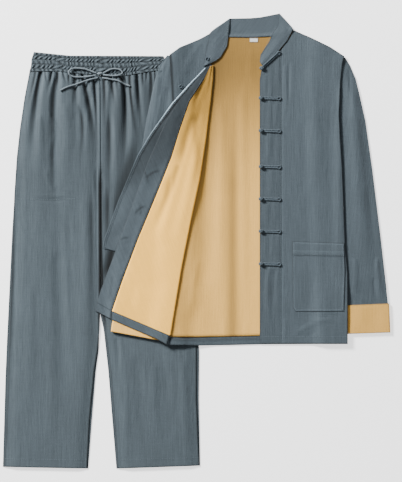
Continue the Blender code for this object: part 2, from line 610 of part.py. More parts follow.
def build_right_front():
    """The right front: a plain layer over the back, rolled over and turned back on itself."""
    below = ("jacket_back", "jacket_back_lining", "jacket_back_hem_facing", "jacket_right_sleeve",
             "jacket_right_cuff")
    vs = even(TURNED_ROWS)
    roll = along(ROLL_LINE, vs)
    hem_corner = np.array(TURNED_HEM[-1:]) * CM
    edge = np.concatenate([hem_corner, roll, along(RIGHT_NECK, even(RIGHT_NECK_ROWS))[1:]])
    side_line = np.array(RIGHT_FRONT_SIDE) * CM
    side_y = np.minimum(edge[:, 1], side_line[-1, 1])
    side = np.column_stack([np.interp(side_y, side_line[:, 1], side_line[:, 0]), side_y])
    share = even(RIGHT_LOWER_COLS)[None, :, None]
    lower = side[:, None] * (1 - share) + edge[:, None] * share
    bend = along(RIGHT_SHOULDER, even(RIGHT_LOWER_COLS)) - lower[-1]
    bend_start = SHOULDER_BEND_Y * CM
    rise = smooth_step((edge[:, 1] - bend_start) / (edge[-1, 1] - bend_start))[:, None, None]
    lower = lower + bend[None] * rise
    low_z = rest_on(below, lower)
    low_sheet = with_height(lower, low_z)
    TOPS["right_front_lower"] = lifted(low_sheet, SHELL)

    # The placket strip lies between the two layers
    strip_rows, strip_cols = STRIP_STEPS
    strip_plan = patch(STRIP_OUTER, STRIP_INNER, (STRIP_OUTER[0], STRIP_INNER[0]),
                       (STRIP_OUTER[-1], STRIP_INNER[-1]), even(strip_cols), even(strip_rows))
    under_strip = ("trouser_right_leg_front", "trouser_left_leg_front", "trouser_waist_front",
                   "jacket_right_sleeve", "right_front_lower")
    strip_under = with_height(strip_plan, rest_on(under_strip, strip_plan))
    cloth_wall("jacket_placket_strip", strip_under, lifted(strip_under, SHELL), "jacket_cloth")

    # Plan of the turned part: hem line, facing columns, lining columns
    front_edge = along(TURNED_EDGE, vs)
    lining_edge = along(TURNED_LINING_EDGE, vs)
    share = even(FACING_COLS)[None, :, None]
    facing_part = front_edge[:, None] * (1 - share) + lining_edge[:, None] * share
    share = even(RIGHT_LINING_COLS)[None, 1:, None]
    lining_part = lining_edge[:, None] * (1 - share) + roll[:, None] * share
    body = np.concatenate([facing_part, lining_part], axis=1)
    seam = TURNED_HEM_SEAM
    hem_share = np.concatenate([even(FACING_COLS) * seam, seam + (1 - seam) * even(RIGHT_LINING_COLS)[1:]])
    hem = along(TURNED_HEM, hem_share)[None]
    turned = np.concatenate([hem, body], axis=0)
    below = ("trouser_right_leg_front", "trouser_left_leg_front", "trouser_waist_front",
             "jacket_right_sleeve", "jacket_right_cuff", "jacket_placket_strip", "jacket_back",
             "jacket_back_lining", "jacket_back_hem_facing", "right_front_lower")
    turned_z = rest_on(below, turned) + ridges(turned, TURNED_RIDGES)
    turned_sheet = with_height(turned, turned_z)
    build_turned_front(low_sheet, turned_sheet)


def build_turned_front(low_sheet, turned_sheet):
    """One wall for both layers and the roll, then facing, lining and hem facing upon it."""
    missing = low_sheet.shape[0] - turned_sheet.shape[0]
    top_row = np.repeat(turned_sheet[-1:], missing, axis=0)
    turned = np.concatenate([turned_sheet, top_row])[:, ::-1]
    way = np.array(ROLL_WAY) / np.linalg.norm(ROLL_WAY)
    start = low_sheet[:, -1]
    end = turned[:, 0]
    middle_z = (start[:, 2] + end[:, 2] + SHELL) / 2
    radius = (end[:, 2] + SHELL - start[:, 2]) / 2
    angles = np.radians(np.linspace(-90, 90, ROLL_COLS + 2))[1:-1]

    def fold(shrink):
        columns = []
        for angle in angles:
            spot = (start + end) / 2
            spot = spot + way * ((radius - shrink) * math.cos(angle))[:, None]
            spot[:, 2] = middle_z + (radius - shrink) * math.sin(angle)
            columns.append(spot)
        return np.stack(columns, axis=1)

    outside = np.concatenate([low_sheet, fold(0.0), lifted(turned, SHELL)], axis=1)
    inside = np.concatenate([lifted(low_sheet, SHELL), fold(SHELL), turned], axis=1)

    def whole(row, col):
        return row <= TURNED_ROWS or col < RIGHT_LOWER_COLS

    cloth_wall("jacket_right_front", inside, outside, "jacket_cloth", keep=whole)
    TOPS["jacket_right_front"] = outside[:TURNED_ROWS + 2]
    # The grids run from the roll to the edge, as the wall's own does
    over = lifted(turned_sheet, SHELL + SEAM_GAP)[:, ::-1]
    half_gap = SEAM_GAP / 2
    join = over.shape[1] - 1 - FACING_COLS
    inset = LINING_INSET
    facing = drawn_in(over[:, join:], left=half_gap, right=inset, bottom=inset)
    cloth_wall("jacket_right_facing", facing, lifted(facing, LINING), "jacket_cloth")
    lining = drawn_in(over[1:, :join + 1], right=half_gap, bottom=half_gap)
    cloth_wall("jacket_right_lining", lining, lifted(lining, LINING), "lining_cloth")
    hem = drawn_in(over[:2, :join + 1], right=half_gap, top=half_gap, bottom=inset, left=inset)
    cloth_wall("jacket_right_hem_facing", hem, lifted(hem, LINING), "jacket_cloth")


def build_collar():
    """Stand collar pressed flat: its back lies lowest and both ends fold forward over it."""
    rows, across = COLLAR_STEPS
    share = even(across)[None, :, None]

    def section(neck, free):
        return along(neck, even(rows))[:, None] * (1 - share) + along(free, even(rows))[:, None] * share

    right = section(COLLAR_RIGHT_NECK, COLLAR_RIGHT_FREE)
    back = section(COLLAR_BACK_NECK, COLLAR_BACK_FREE)
    left = section(COLLAR_LEFT_NECK, COLLAR_LEFT_FREE)
    back_z = rest_on(("jacket_back",), back, reach=0.001)
    back_sheet = with_height(back, back_z)
    TOPS["collar_back"] = lifted(back_sheet, SHELL)
    below = ("collar_back", "jacket_back_lining", "jacket_back", "right_front_lower", "jacket_right_front",
             "jacket_left_front")
    right_sheet = with_height(right, rest_on(below, right))
    left_sheet = with_height(left, rest_on(below, left))

    def turn(upper, lower, outward):
        radius = (upper[..., 2] + SHELL - lower[..., 2]) / 2
        middle = (upper + lower) / 2
        layers = []
        for shrink in (0.0, SHELL):
            spot = middle + outward * (radius - shrink)[..., None]
            spot[..., 2] = lower[..., 2] + radius
            layers.append(spot)
        return layers

    fold_right = turn(right_sheet[-1], back_sheet[0], np.array(COLLAR_RIGHT_WAY))
    fold_left = turn(left_sheet[0], back_sheet[-1], np.array(COLLAR_LEFT_WAY))
    outside = np.concatenate([lifted(right_sheet, SHELL), fold_right[0][None], back_sheet,
                              fold_left[0][None], lifted(left_sheet, SHELL)])
    inside = np.concatenate([right_sheet, fold_right[1][None], lifted(back_sheet, SHELL),
                             fold_left[1][None], left_sheet])
    cloth_wall("jacket_collar", inside, outside, "jacket_cloth")


def build_label():
    x, y, width, depth = LABEL
    low = ((x - width / 2, y - depth), (x + width / 2, y - depth))
    high = ((x - width / 2, y), (x + width / 2, y))
    plan = patch((low[0], high[0]), (low[1], high[1]), low, high, even(3), even(2))
    under = with_height(plan, rest_on(("jacket_back_lining",), plan, reach=0.0))
    cloth_wall("jacket_neck_label", under, lifted(under, LINING), "label_cloth")


def build_strap(name, start, end):
    """Flat strap laid on the left front between two places in centimetres."""
    a = np.array(start) * CM
    b = np.array(end) * CM
    way = (b - a) / np.linalg.norm(b - a)
    side = np.array((-way[1], way[0])) * STRAP_WIDTH / 2
    share = even(5)[None, :, None]
    edge = even(2)[:, None, None] * 2 - 1
    plan = a * (1 - share) + b * share + side * edge
    under = with_height(plan, rest_on(("jacket_left_front", "jacket_collar"), plan, reach=0.001))
    over = lifted(under, STRAP_THICK)
    over[(0, -1), :, 2] -= STRAP_THICK * STRAP_ROUNDING
    cloth_wall(name, under, over, "frog_cloth")


def build_knot(name, x, y, size, cloth, below):
    """Knotted ball that lies on what is under it."""
    tree = tree_of(below)
    top = max(height_at(tree, x + size[0] / 2 * dx, y + size[1] / 2 * dy, 0.002) or 0.0
              for dx in (-0.7, 0.0, 0.7) for dy in (-0.7, 0.0, 0.7))
    bm = bmesh.new()
    bmesh.ops.create_uvsphere(bm, u_segments=12, v_segments=8, radius=0.5)
    for vert in bm.verts:
        vert.co.x = x + vert.co.x * size[0]
        vert.co.y = y + vert.co.y * size[1]
        vert.co.z = top + SEAM_GAP + (vert.co.z + 0.5) * size[2]
    finish_mesh(name, bm, cloth)


def build_frogs():
    rows = [((FROG_KNOT_X, y), (FROG_KNOT_X + STRAP_LENGTH / CM, y - STRAP_DROP)) for y in FROG_Y]
    below = ("jacket_left_front", "jacket_back_lining", "jacket_collar")
    for number, (knot, end) in enumerate([NECK_FROG] + rows, start=1):
        way = np.array(end) - np.array(knot)
        way = way / np.linalg.norm(way)
        start = np.array(knot) + way * (KNOT_SIZE[0] / 2 + STRAP_START) / CM
        build_strap(f"frog_strap_{number}", start, end)
        build_knot(f"frog_knot_{number}", knot[0] * CM, knot[1] * CM, KNOT_SIZE, "frog_cloth", below)


def tube_along(name, points, radius, cloth, rough=2):
    """Round cord through the points as a filled curve turned into a mesh."""
    curve = bpy.data.curves.new(name, 'CURVE')
    curve.dimensions = '3D'
    curve.bevel_depth = radius
    curve.bevel_resolution = rough
    curve.use_fill_caps = True
    spline = curve.splines.new('POLY')
    spline.points.add(len(points) - 1)
    for spot, point in zip(spline.points, points):
        spot.co = (*point, 1.0)
    helper = bpy.data.objects.new(name + "_route", curve)
    UNIFORM.objects.link(helper)
    mesh = bpy.data.meshes.new_from_object(helper.evaluated_get(bpy.context.evaluated_depsgraph_get()))
    bpy.data.objects.remove(helper, do_unlink=True)
    bm = bmesh.new()
    bm.from_mesh(mesh)
    bpy.data.meshes.remove(mesh)
    bmesh.ops.remove_doubles(bm, verts=bm.verts, dist=0.00005)
    return finish_mesh(name, bm, cloth)


def smooth_route(points, spacing):
    """Even points on a smooth curve through the route's own points."""
    points = np.array(points, float)
    ends = np.concatenate([[2 * points[0] - points[1]], points, [2 * points[-1] - points[-2]]])
    fine = []
    for k in range(1, len(ends) - 2):
        p0, p1, p2, p3 = ends[k - 1:k + 3]
        for t in np.linspace(0, 1, 12, endpoint=False):
            fine.append(0.5 * (2 * p1 + (p2 - p0) * t + (2 * p0 - 5 * p1 + 4 * p2 - p3) * t ** 2
                               + (3 * p1 - p0 - 3 * p2 + p3) * t ** 3))
    fine.append(ends[-2])
    fine = np.array(fine)
    steps = np.concatenate([[0.0], np.cumsum(np.linalg.norm(np.diff(fine, axis=0), axis=1))])
    count = max(4, round(steps[-1] / spacing))
    at = np.linspace(0, steps[-1], count + 1)
    return np.stack([np.interp(at, steps, fine[:, axis]) for axis in range(fine.shape[1])], axis=-1)


def build_drawstring():
    below = ("trouser_waist_front", "trouser_right_leg_front", "trouser_left_leg_front")
    tree = tree_of(below)
    x, y = BOW_KNOT
    build_knot("drawstring_knot", x * CM, y * CM, BOW_KNOT_SIZE, "drawstring_cord", below)
    for name, route in DRAWSTRING.items():
        plan = smooth_route(np.array(route) * CM, 2.5 * DRAWSTRING_RADIUS)
        need = np.array([height_at(tree, px, py, LAY_REACH) or 0.0 for px, py in plan])
        height = need.copy()
        for turn in range(12):
            mean = np.convolve(np.pad(height, 1, mode="edge"), (0.25, 0.5, 0.25), mode="valid")
            height = np.maximum(mean, need)
        points = np.column_stack([plan, height + DRAWSTRING_RADIUS + SEAM_GAP])
        tube_along(name, points, DRAWSTRING_RADIUS, "drawstring_cord")


def build_button_loops():
    below = ("jacket_collar", "right_front_lower", "jacket_placket_strip", "jacket_right_front")
    for number, (x, y, heading) in enumerate(BUTTON_LOOPS, start=1):
        tree = tree_of(below)
        turn = math.radians(heading)
        points = []
        for angle in np.radians(np.linspace(-LOOP_SWEEP, LOOP_SWEEP, LOOP_POINTS)):
            across = LOOP_SIZE[0] * math.cos(angle) + LOOP_OUT
            up = LOOP_SIZE[1] * math.sin(angle)
            px = x * CM + across * math.cos(turn) - up * math.sin(turn)
            py = y * CM + across * math.sin(turn) + up * math.cos(turn)
            points.append((px, py))
        level = max(height_at(tree, px, py, 0.003) or 0.0 for px, py in points)
        points = [(px, py, level + LOOP_WIRE + SEAM_GAP) for px, py in points]
        tube_along(f"frog_loop_{number}", points, LOOP_WIRE, "frog_cloth", rough=1)


def main():
    build_trousers()
    build_waist()
    build_drawstring()
    build_sleeve("right", RIGHT_SLEEVE_INNER, RIGHT_SLEEVE_OUTER,
                 ("trouser_left_leg_front", "trouser_waist_front", "trouser_left_leg_back"),
                 RIGHT_SLEEVE_RIDGES)
    build_sleeve("left", LEFT_SLEEVE_INNER, LEFT_SLEEVE_OUTER, (), LEFT_SLEEVE_RIDGES)
    build_back()
    build_left_front()
    build_right_front()
    build_collar()
    build_label()
    build_frogs()
    build_button_loops()


clear_scene()
UNIFORM = make_collection("tai_chi_uniform")
main()
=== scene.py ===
"""Tai chi uniform laid flat on a pale floor: drawstring trousers under an open, lined jacket.

World frame: x to the right, y towards the collar, z up from the floor. Tables are in centimetres.
"""

import math

import bpy
import numpy as np
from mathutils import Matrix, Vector
from mathutils.bvhtree import BVHTree


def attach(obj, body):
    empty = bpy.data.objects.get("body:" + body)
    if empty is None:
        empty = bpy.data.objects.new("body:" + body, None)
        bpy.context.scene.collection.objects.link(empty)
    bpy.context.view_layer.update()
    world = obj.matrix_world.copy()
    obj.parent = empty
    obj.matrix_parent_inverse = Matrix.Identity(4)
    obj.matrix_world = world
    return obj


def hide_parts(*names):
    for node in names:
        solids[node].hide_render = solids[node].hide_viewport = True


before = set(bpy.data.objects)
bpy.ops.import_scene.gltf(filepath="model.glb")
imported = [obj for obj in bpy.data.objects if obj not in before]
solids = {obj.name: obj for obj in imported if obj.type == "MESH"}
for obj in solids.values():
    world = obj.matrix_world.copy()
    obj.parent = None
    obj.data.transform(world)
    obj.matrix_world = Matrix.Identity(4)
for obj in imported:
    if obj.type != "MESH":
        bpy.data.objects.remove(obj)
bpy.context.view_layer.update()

# Camera
# The set is photographed from straight above, with the collar at the top of the picture.
PICTURE_HEIGHT = 1.181
CAMERA_RISE = 5.0
CAMERA_X = 0.0113
SENSOR = 36.0

camera_data = bpy.data.cameras.new("camera")
camera_data.sensor_width = SENSOR
camera_data.lens = SENSOR * CAMERA_RISE / PICTURE_HEIGHT
camera_data.clip_end = 50.0
camera = bpy.data.objects.new("camera", camera_data)
camera.location = (CAMERA_X, 0.0, CAMERA_RISE)
bpy.context.scene.collection.objects.link(camera)
bpy.context.scene.camera = camera

# Studio
# A wide pale floor that glows a little, one soft square lamp low in the upper left, and a pale room.
FLOOR_TONE = (0.86, 0.86, 0.86, 1.0)
FLOOR_SIDE = 12.0
LAMP_PLACE = (-3.9, 3.4, 2.9)
LAMP_SIDE = 1.3
LAMP_POWER = 1230.0
ROOM_TONE = (0.95, 0.97, 1.0, 1.0)
ROOM_LIGHT = 0.46
FLOOR_GLOW = 1.3

floor_mesh = bpy.data.meshes.new("floor")
half = FLOOR_SIDE / 2
floor_mesh.from_pydata([(-half, -half, 0), (half, -half, 0), (half, half, 0), (-half, half, 0)], [],
                       [(0, 1, 2, 3)])
floor = bpy.data.objects.new("floor", floor_mesh)
floor.location.z = -0.0002
floor_paint = bpy.data.materials.new("pale_floor")
floor_paint.use_nodes = True
floor_shader = floor_paint.node_tree.nodes["Principled BSDF"].inputs
floor_shader["Base Color"].default_value = FLOOR_TONE
floor_shader["Roughness"].default_value = 0.9
floor_shader["Emission Color"].default_value = (1.0, 1.0, 1.0, 1.0)
floor_shader["Emission Strength"].default_value = FLOOR_GLOW
floor_mesh.materials.append(floor_paint)
bpy.context.scene.collection.objects.link(floor)
lamp_data = bpy.data.lights.new("soft_lamp", 'AREA')
lamp_data.shape = 'SQUARE'
lamp_data.size = LAMP_SIDE
lamp_data.energy = LAMP_POWER
lamp = bpy.data.objects.new("soft_lamp", lamp_data)
lamp.location = LAMP_PLACE
lamp.rotation_euler = Vector(LAMP_PLACE).to_track_quat('Z', 'Y').to_euler()
bpy.context.scene.collection.objects.link(lamp)
room = bpy.data.worlds.new("studio_room")
room.use_nodes = True
room.node_tree.nodes["Background"].inputs["Color"].default_value = ROOM_TONE
room.node_tree.nodes["Background"].inputs["Strength"].default_value = ROOM_LIGHT
bpy.context.scene.world = room

# Trouser leg backs
# The rear panels of both legs, each cut from single slubby cotton.
# They lie flat on the floor and are a little wider than the fronts sewn to them.
CM = 0.01
CELL = 0.0036
BORDER = 0.0012
LEG_CLOTH = 0.0016
LEG_BACK_WIDE = 0.22
LEG_BACK_LONG = 0.97
LEG_BACK_CELL = 0.012
LEGS = {
    "right": {
        "back": (((-47.4, -55.3), (-46.8, -34.0), (-46.4, -24.2), (-45.1, 2.7), (-44.0, 20.4), (-43.2, 27.7),
                  (-42.1, 35.1), (-40.9, 41.4)),
                 ((-26.5, -55.7), (-25.6, -43.8), (-24.6, -31.6), (-23.9, -26.7), (-23.8, -21.8),
                  (-23.9, 16.9), (-23.9, 40.5))),
        "front": (((-47.1, -55.3), (-46.5, -46.3), (-45.8, -24.2), (-44.6, 11.3), (-44.0, 20.4),
                   (-43.2, 27.7), (-42.1, 35.1), (-40.9, 41.4)),
                  ((-26.8, -55.7), (-26.2, -43.8), (-25.0, -31.6), (-24.2, -26.7), (-23.7, -21.8),
                   (-23.5, -16.0), (-23.55, 16.9), (-23.6, 38.0), (-23.9, 40.5))),
        "seam": ((-40.9, 41.4), (-33.4, 41.4), (-27.3, 40.7), (-23.9, 40.5)),
    },
    "left": {
        "back": (((-19.6, -55.7), (-20.6, -43.8), (-21.6, -31.6), (-22.7, -21.8), (-23.74, -17.0),
                  (-23.83, -2.2), (-23.86, 16.9), (-23.86, 40.5)),
                 ((0.9, -55.0), (0.6, -38.9), (0.7, -26.7), (-1.6, -2.2), (-4.0, 20.4), (-4.9, 27.7),
                  (-6.0, 35.1), (-7.3, 41.9))),
        "front": (((-19.3, -55.7), (-20.1, -43.8), (-21.1, -31.6), (-22.4, -21.8), (-23.3, -17.0),
                   (-23.7, -2.2), (-23.86, 16.9), (-23.86, 40.5)),
                  ((0.7, -55.0), (0.0, -38.9), (0.0, -26.7), (-1.9, -2.2), (-4.0, 20.4), (-4.9, 27.7),
                   (-6.0, 35.1), (-7.3, 41.9))),
        "seam": ((-23.86, 40.5), (-19.9, 40.2), (-16.3, 40.5), (-11.4, 41.4), (-7.3, 41.9)),
    },
}
TROUSER_TONE = (0.055, 0.072, 0.083)


def woven_cloth(name, tone, turn=0.0, slub=0.36, mottle=0.14, weave=0.0016, depth=0.55):
    """Plain woven cotton: uneven slubs along both yarns, a soft mottle, and the weave as a fine bump."""
    mat = bpy.data.materials.new(name)
    mat.use_nodes = True
    nodes = mat.node_tree.nodes
    links = mat.node_tree.links
    shader = nodes["Principled BSDF"]
    shader.inputs["Roughness"].default_value = 0.88
    shader.inputs["Specular IOR Level"].default_value = 0.22
    shader.inputs["Sheen Weight"].default_value = 0.12
    shader.inputs["Sheen Roughness"].default_value = 0.5
    coords = nodes.new("ShaderNodeTexCoord")
    grain = nodes.new("ShaderNodeMapping")
    grain.inputs["Rotation"].default_value = (0.0, 0.0, math.radians(turn))
    links.new(coords.outputs["Object"], grain.inputs["Vector"])

    def noise(label, scale, detail):
        stretch = nodes.new("ShaderNodeMapping")
        stretch.label = label
        stretch.inputs["Scale"].default_value = scale
        links.new(grain.outputs["Vector"], stretch.inputs["Vector"])
        tex = nodes.new("ShaderNodeTexNoise")
        tex.inputs["Scale"].default_value = 1.0
        tex.inputs["Detail"].default_value = detail
        links.new(stretch.outputs["Vector"], tex.inputs["Vector"])
        return tex.outputs["Fac"]

    def mixed(kind, a, b):
        step = nodes.new("ShaderNodeMath")
        step.operation = kind
        for socket, value in zip(step.inputs, (a, b)):
            if isinstance(value, float):
                socket.default_value = value
            else:
                links.new(value, socket)
        return step.outputs["Value"]

    warp = noise("long slubs in the warp", (330.0, 20.0, 40.0), 3.0)
    weft = noise("shorter slubs in the weft", (48.0, 420.0, 40.0), 2.0)
    cloud = noise("soft mottle", (13.0, 8.0, 9.0), 3.0)
    fibre = noise("fibre", (1500.0, 1100.0, 900.0), 2.0)
    yarns = mixed('ADD', mixed('MULTIPLY', warp, 0.72), mixed('MULTIPLY', weft, 0.28))
    yarns = mixed('MULTIPLY', mixed('SUBTRACT', yarns, 0.5), 2.0 * slub)
    patches = mixed('MULTIPLY', mixed('SUBTRACT', cloud, 0.5), 2.0 * mottle)
    grey = mixed('ADD', mixed('ADD', yarns, patches), 1.0)
    # The point attribute tone scales the cloth's colour; most pieces paint shade and highlights into it.
    shade = nodes.new("ShaderNodeAttribute")
    shade.attribute_name = "tone"
    grey = mixed('MULTIPLY', grey, shade.outputs["Fac"])
    paint = nodes.new("ShaderNodeVectorMath")
    paint.operation = 'SCALE'
    paint.inputs[0].default_value = tone
    links.new(grey, paint.inputs["Scale"])
    links.new(paint.outputs["Vector"], shader.inputs["Base Color"])

    def yarn(label, direction):
        wave = nodes.new("ShaderNodeTexWave")
        wave.label = label
        wave.bands_direction = direction
        wave.inputs["Scale"].default_value = 1.0 / (weave * 3.2)
        wave.inputs["Distortion"].default_value = 1.5
        wave.inputs["Detail"].default_value = 1.0
        wave.inputs["Detail Scale"].default_value = 2.0
        links.new(grain.outputs["Vector"], wave.inputs["Vector"])
        return wave.outputs["Fac"]

    cross = mixed('MULTIPLY', yarn("warp yarns", 'X'), yarn("weft yarns", 'Y'))
    relief = mixed('ADD', mixed('MULTIPLY', cross, 0.45), mixed('MULTIPLY', fibre, 0.35))
    relief = mixed('ADD', relief, mixed('MULTIPLY', warp, 0.9))
    relief = mixed('ADD', relief, mixed('MULTIPLY', weft, 0.5))
    bump = nodes.new("ShaderNodeBump")
    bump.inputs["Strength"].default_value = depth
    bump.inputs["Distance"].default_value = 0.0016
    links.new(relief, bump.inputs["Height"])
    links.new(bump.outputs["Normal"], shader.inputs["Normal"])
    return mat


def line_at(line, shares):
    """Points in metres at shares of the length of a line in centimetres."""
    points = np.array(line, float) * CM
    run = np.concatenate([[0.0], np.cumsum(np.hypot(*np.diff(points, axis=0).T))])
    at = np.asarray(shares) * run[-1]
    return np.stack([np.interp(at, run, points[:, k]) for k in (0, 1)], axis=-1)


def length_of(line):
    return np.hypot(*np.diff(np.array(line, float), axis=0).T).sum() * CM


def shares(length, cell=CELL):
    """Even steps of about one cell, with one more close to each border for its soft edge."""
    even = np.linspace(0.0, 1.0, max(2, round(length / cell)) + 1)
    rim = BORDER / length
    return np.unique(np.concatenate([even, [rim, 1.0 - rim]]))


def patch(left, right, low, high, us, vs):
    """Plan points inside four border lines, row by row from the bottom."""
    u = np.asarray(us)[None, :, None]
    v = np.asarray(vs)[:, None, None]
    bottom = line_at(low, us)[None]
    top = line_at(high, us)[None]
    corners = ((1 - u) * (1 - v) * bottom[:, :1] + u * (1 - v) * bottom[:, -1:]
               + (1 - u) * v * top[:, :1] + u * v * top[:, -1:])
    sides = (1 - u) * line_at(left, vs)[:, None] + u * line_at(right, vs)[:, None]
    return sides + (1 - v) * bottom + v * top - corners


def points_at(plan, height):
    return np.concatenate([plan, np.broadcast_to(height, plan.shape[:2])[..., None]], axis=-1)


def sheet_faces(rows, cols, kept, closed):
    """Quads of a wall: its upper grid, its lower grid and a rim all round the kept cells."""
    count = rows * cols
    spots = np.arange(count).reshape(rows, cols)
    a, b, c, d = spots[:-1, :-1][kept], spots[:-1, 1:][kept], spots[1:, 1:][kept], spots[1:, :-1][kept]
    faces = [np.stack([a, b, c, d], axis=1), np.stack([d, c, b, a], axis=1) + count]
    around = np.pad(kept, 1)
    if closed:
        around[:, 0] = around[:, -2]
        around[:, -1] = around[:, 1]
    for way, first, second in (((-1, 0), a, b), ((0, 1), b, c), ((1, 0), c, d), ((0, -1), d, a)):
        beside = around[1 + way[0]:around.shape[0] - 1 + way[0], 1 + way[1]:around.shape[1] - 1 + way[1]]
        rim = ~beside[kept]
        p, q = first[rim], second[rim]
        faces.append(np.stack([q, p, p + count, q + count], axis=1))
    return np.concatenate(faces)


def make_wall(name, upper, lower, material, kept=None, tone=None, closed=False, painted_rim_shading=(0.5, 0.72)):
    """Closed thin wall between two sheets of points; a closed one joins its first and last columns."""
    rows, cols = upper.shape[:2]
    if kept is None:
        kept = np.ones((rows - 1, cols - 1), bool)
    faces = sheet_faces(rows, cols, kept, closed)
    if closed:
        faces = np.where(faces % cols == cols - 1, faces - cols + 1, faces)
    used = np.unique(faces)
    renamed = np.zeros(2 * rows * cols, int)
    renamed[used] = np.arange(len(used))
    verts = np.concatenate([upper.reshape(-1, 3), lower.reshape(-1, 3)])[used]
    mesh = bpy.data.meshes.new(name)
    mesh.from_pydata(verts.tolist(), [], renamed[faces].tolist())
    tones = np.ones((rows, cols)) if tone is None else tone.copy()
    down = np.minimum(np.arange(rows), np.arange(rows)[::-1])[:, None]
    across = np.minimum(np.arange(cols), np.arange(cols)[::-1])[None]
    ring = np.broadcast_to(down, tones.shape) if closed else np.minimum(down, across)
    # Painted rim shading: each ring of points in from the border has its tone scaled by one share, below one
    # for painted shade where the edge rounds off, above one for a painted highlight.
    for place, share in enumerate(painted_rim_shading):
        tones[ring == place] *= share
    layer = mesh.attributes.new("tone", 'FLOAT', 'POINT')
    layer.data.foreach_set("value", np.tile(tones.ravel(), 2)[used].astype(np.float32))
    mesh.polygons.foreach_set("use_smooth", [True] * len(mesh.polygons))
    mesh.materials.append(material)
    mesh.update()
    obj = bpy.data.objects.new(name, mesh)
    bpy.context.scene.collection.objects.link(obj)
    return obj


def hand_over(obj, nodes):
    """The piece stands for its solids and rides on the one body."""
    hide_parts(*nodes)
    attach(obj, "root")


# The heap holds the height of what is already laid, over squares of the floor
HEAP_STEP = 0.002
HEAP_LOW = (-0.50, -0.60)
HEAP_SIZE = (600, 500)
heap = np.zeros(HEAP_SIZE)


def heap_squares(plan):
    x = np.clip(((plan[..., 0] - HEAP_LOW[0]) / HEAP_STEP).astype(int), 0, HEAP_SIZE[1] - 1)
    y = np.clip(((plan[..., 1] - HEAP_LOW[1]) / HEAP_STEP).astype(int), 0, HEAP_SIZE[0] - 1)
    return y, x


def pile(sheet, split=4):
    """Adds a laid sheet's upper surface to the heap."""
    for s in np.linspace(0, 1, split + 1):
        for t in np.linspace(0, 1, split + 1):
            spots = ((1 - s) * (1 - t) * sheet[:-1, :-1] + s * (1 - t) * sheet[:-1, 1:]
                     + (1 - s) * t * sheet[1:, :-1] + s * t * sheet[1:, 1:])
            np.maximum.at(heap, heap_squares(spots), spots[..., 2])


def heap_under(plan, reach=1):
    """Highest laid cloth within some squares of each plan point."""
    wide = heap.copy()
    for turn in range(reach):
        wide[1:] = np.maximum(wide[1:], wide[:-1])
        wide[:-1] = np.maximum(wide[:-1], wide[1:])
        wide[:, 1:] = np.maximum(wide[:, 1:], wide[:, :-1])
        wide[:, :-1] = np.maximum(wide[:, :-1], wide[:, 1:])
    return wide[heap_squares(plan)]


def soften(z, passes):
    for turn in range(passes):
        p = np.pad(z, 1, mode="edge")
        z = (p[:-2, 1:-1] + 2 * p[1:-1, 1:-1] + p[2:, 1:-1]) / 4
        p = np.pad(z, 1, mode="edge")
        z = (p[1:-1, :-2] + 2 * p[1:-1, 1:-1] + p[1:-1, 2:]) / 4
    return z


def heights(nodes, plan, upward=False):
    """Upper heights of the solids at the plan points, or lower ones when looked at from below."""
    verts = []
    faces = []
    for node in nodes:
        mesh = solids[node].data
        first = len(verts)
        verts.extend(v.co.copy() for v in mesh.vertices)
        faces.extend([first + k for k in face.vertices] for face in mesh.polygons)
    tree = BVHTree.FromPolygons(verts, faces)
    start = -1.0 if upward else 1.0
    way = Vector((0, 0, -start))
    z = np.full(plan.shape[:2], np.nan)
    for index in np.ndindex(z.shape):
        hit = tree.ray_cast(Vector((plan[index][0], plan[index][1], start)), way)[0]
        if hit is not None:
            z[index] = hit.z
    while np.isnan(z).any():
        p = np.pad(z, 1, constant_values=np.nan)
        beside = np.stack([p[:-2, 1:-1], p[2:, 1:-1], p[1:-1, :-2], p[1:-1, 2:]])
        near = np.where(np.isnan(beside), 0.0, beside).sum(0) / np.maximum((~np.isnan(beside)).sum(0), 1)
        gap = np.isnan(z) & (~np.isnan(beside)).any(0)
        z[gap] = near[gap]
    return z


leg_back_cloth = woven_cloth("trouser_back_cotton", TROUSER_TONE)
for side, leg in LEGS.items():
    a, b = leg["back"]
    plan = patch(a, b, (a[0], b[0]), (a[-1], b[-1]), shares(LEG_BACK_WIDE, LEG_BACK_CELL),
                 shares(LEG_BACK_LONG, LEG_BACK_CELL))
    sheet = points_at(plan, LEG_CLOTH)
    obj = make_wall(f"trouser_{side}_back_cloth", sheet, points_at(plan, 0.0), leg_back_cloth)
    hand_over(obj, [f"trouser_{side}_leg_back"])
    pile(sheet)

# Trouser leg fronts
# The front panels, of the same cotton, gathered into the waist seam by the elastic.
# They puff up a little there and fall into long soft folds; the right one laps the left at the fly.
FRONT_CLOTH = 0.0010
GATHER_PUFF = 0.0034
GATHER_FROM = 0.10
GATHER_RISE = 0.26
LEG_FRONT_WIDE = 0.235
LEG_FRONT_LONG = 0.972
GATHER_CELL = 0.0021
LEGS_MEET = 0.20
LEGS_PARTED = 0.15
CROTCH = -0.20
# Width and share of the painted shade along the leg fronts' edges
RIM_WIDE = 0.003
RIM_SHADE = 0.55
# Width of the band of painted light and shadow along each leg's inner edge
FLY_PAINTED_BAND = {"right": 0.0040, "left": 0.0072}
# Painted shade on each leg front, growing towards the waist
LEG_WAIST_SHADE = {"right": 0.08, "left": 0.20}
# Strength of the painted shade in the fold troughs and of the painted highlight beside them
FOLD_SHADE = 0.94
FOLD_HIGHLIGHT = 0.30
